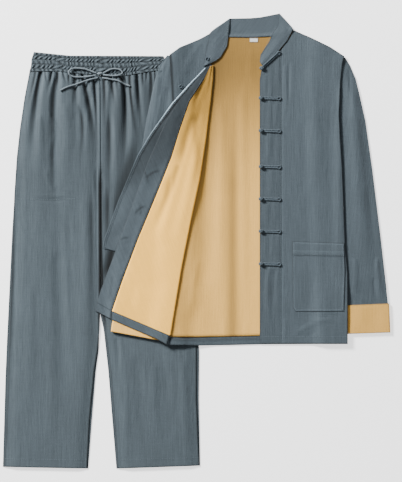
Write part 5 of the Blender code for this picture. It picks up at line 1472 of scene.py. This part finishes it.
def seam(name, lines, material, slot_name, shift=0.0):
    """Rows of stitches lying on the cloth along lines in centimetres, moved sideways by a shift in cm."""
    verts = []
    edges = []
    for line in lines:
        long = length_of(line)
        plan = line_at(line, np.linspace(0, 1, max(2, round(long / 0.003))))
        way = np.gradient(plan, axis=0)
        way = way / np.linalg.norm(way, axis=1)[:, None]
        plan = plan + np.column_stack([-way[:, 1], way[:, 0]]) * shift * CM
        z = heap_under(plan[None], 1)[0]
        z = np.convolve(np.pad(z, 1, mode="edge"), np.full(3, 1 / 3), mode="valid")
        first = len(verts)
        verts.extend(np.column_stack([plan, z + THREAD_GIRTH * 0.3]).tolist())
        edges.extend((first + k, first + k + 1) for k in range(len(plan) - 1))
    mesh = bpy.data.meshes.new(name + "_line")
    mesh.from_pydata(verts, edges, [])
    guide = bpy.data.objects.new(name + "_line", mesh)
    bpy.context.scene.collection.objects.link(guide)
    maker = guide.modifiers.new("stitches", 'NODES')
    maker.node_group = running_stitch
    values = {"Pitch": STITCH_PITCH, "Length": STITCH_LENGTH, "Girth": THREAD_GIRTH, "Thread": material}
    for item in running_stitch.interface.items_tree:
        if item.in_out == 'INPUT' and item.name in values:
            maker[item.identifier] = values[item.name]
    ready = guide.evaluated_get(bpy.context.evaluated_depsgraph_get())
    stitched = bpy.data.meshes.new_from_object(ready)
    stitched.name = name
    bpy.data.objects.remove(guide)
    obj = bpy.data.objects.new(name, stitched)
    bpy.context.scene.collection.objects.link(obj)
    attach(obj, "root")
    return obj


running_stitch = stitch_tool()
blue_thread = thread("blue_thread", THREAD_TONE)
seam("left_front_stitches", (((20.7, 46.4), (20.7, 10.0), (20.7, -25.0)),), blue_thread, "jacket_cloth")
seam("pocket_stitches", (((23.9, -2.4), (36.0, -2.6)), ((23.9, -3.3), (36.0, -3.5)),
                         ((23.9, -0.5), (36.0, -0.9)),
                         ((23.85, -0.4), (23.85, -4.6), (23.9, -16.2), (24.6, -16.9), (35.8, -16.8),
                          (36.1, -7.1), (35.8, -0.9))), blue_thread, "jacket_cloth")
seam("jacket_hem_stitches", (((15.8, -23.4), (36.8, -23.4)),), blue_thread, "jacket_cloth")
seam("facing_stitches", (LINING_EDGE[:-1],), blue_thread, "jacket_cloth", shift=0.3)
seam("strip_stitches", (STRIP_OUTER[:-1],), blue_thread, "jacket_cloth", shift=-0.5)
seam("turned_hem_stitches", (((-20.4, -17.6), (-12.4, -21.0), (-7.6, -23.1)),), blue_thread, "jacket_cloth")
seam("collar_stitches", (((6.6, 47.2), (7.4, 49.6), (7.9, 53.6)), ((8.6, 54.0), (13.1, 54.2), (19.8, 55.2)),
                         ((19.5, 52.4), (18.4, 50.8), (17.4, 48.6), (16.2, 46.0))), blue_thread,
     "jacket_cloth")
seam("trouser_hem_stitches", (((-46.7, -53.3), (-27.1, -53.6)), ((-19.0, -53.6), (0.2, -53.0))), blue_thread,
     "trouser_cloth")
seam("trouser_pocket_stitches", (((-43.6, 10.3), (-35.0, 10.1), (-28.4, 10.5)),), blue_thread,
     "trouser_cloth")
seam("waist_stitches", tuple(tuple((x, 41.2 + share * 4.6) for x in (-40.0, -33.0, -26.0, -19.0, -12.0))
                             for share in ELASTIC_ROWS[1:3]), blue_thread, "trouser_cloth")
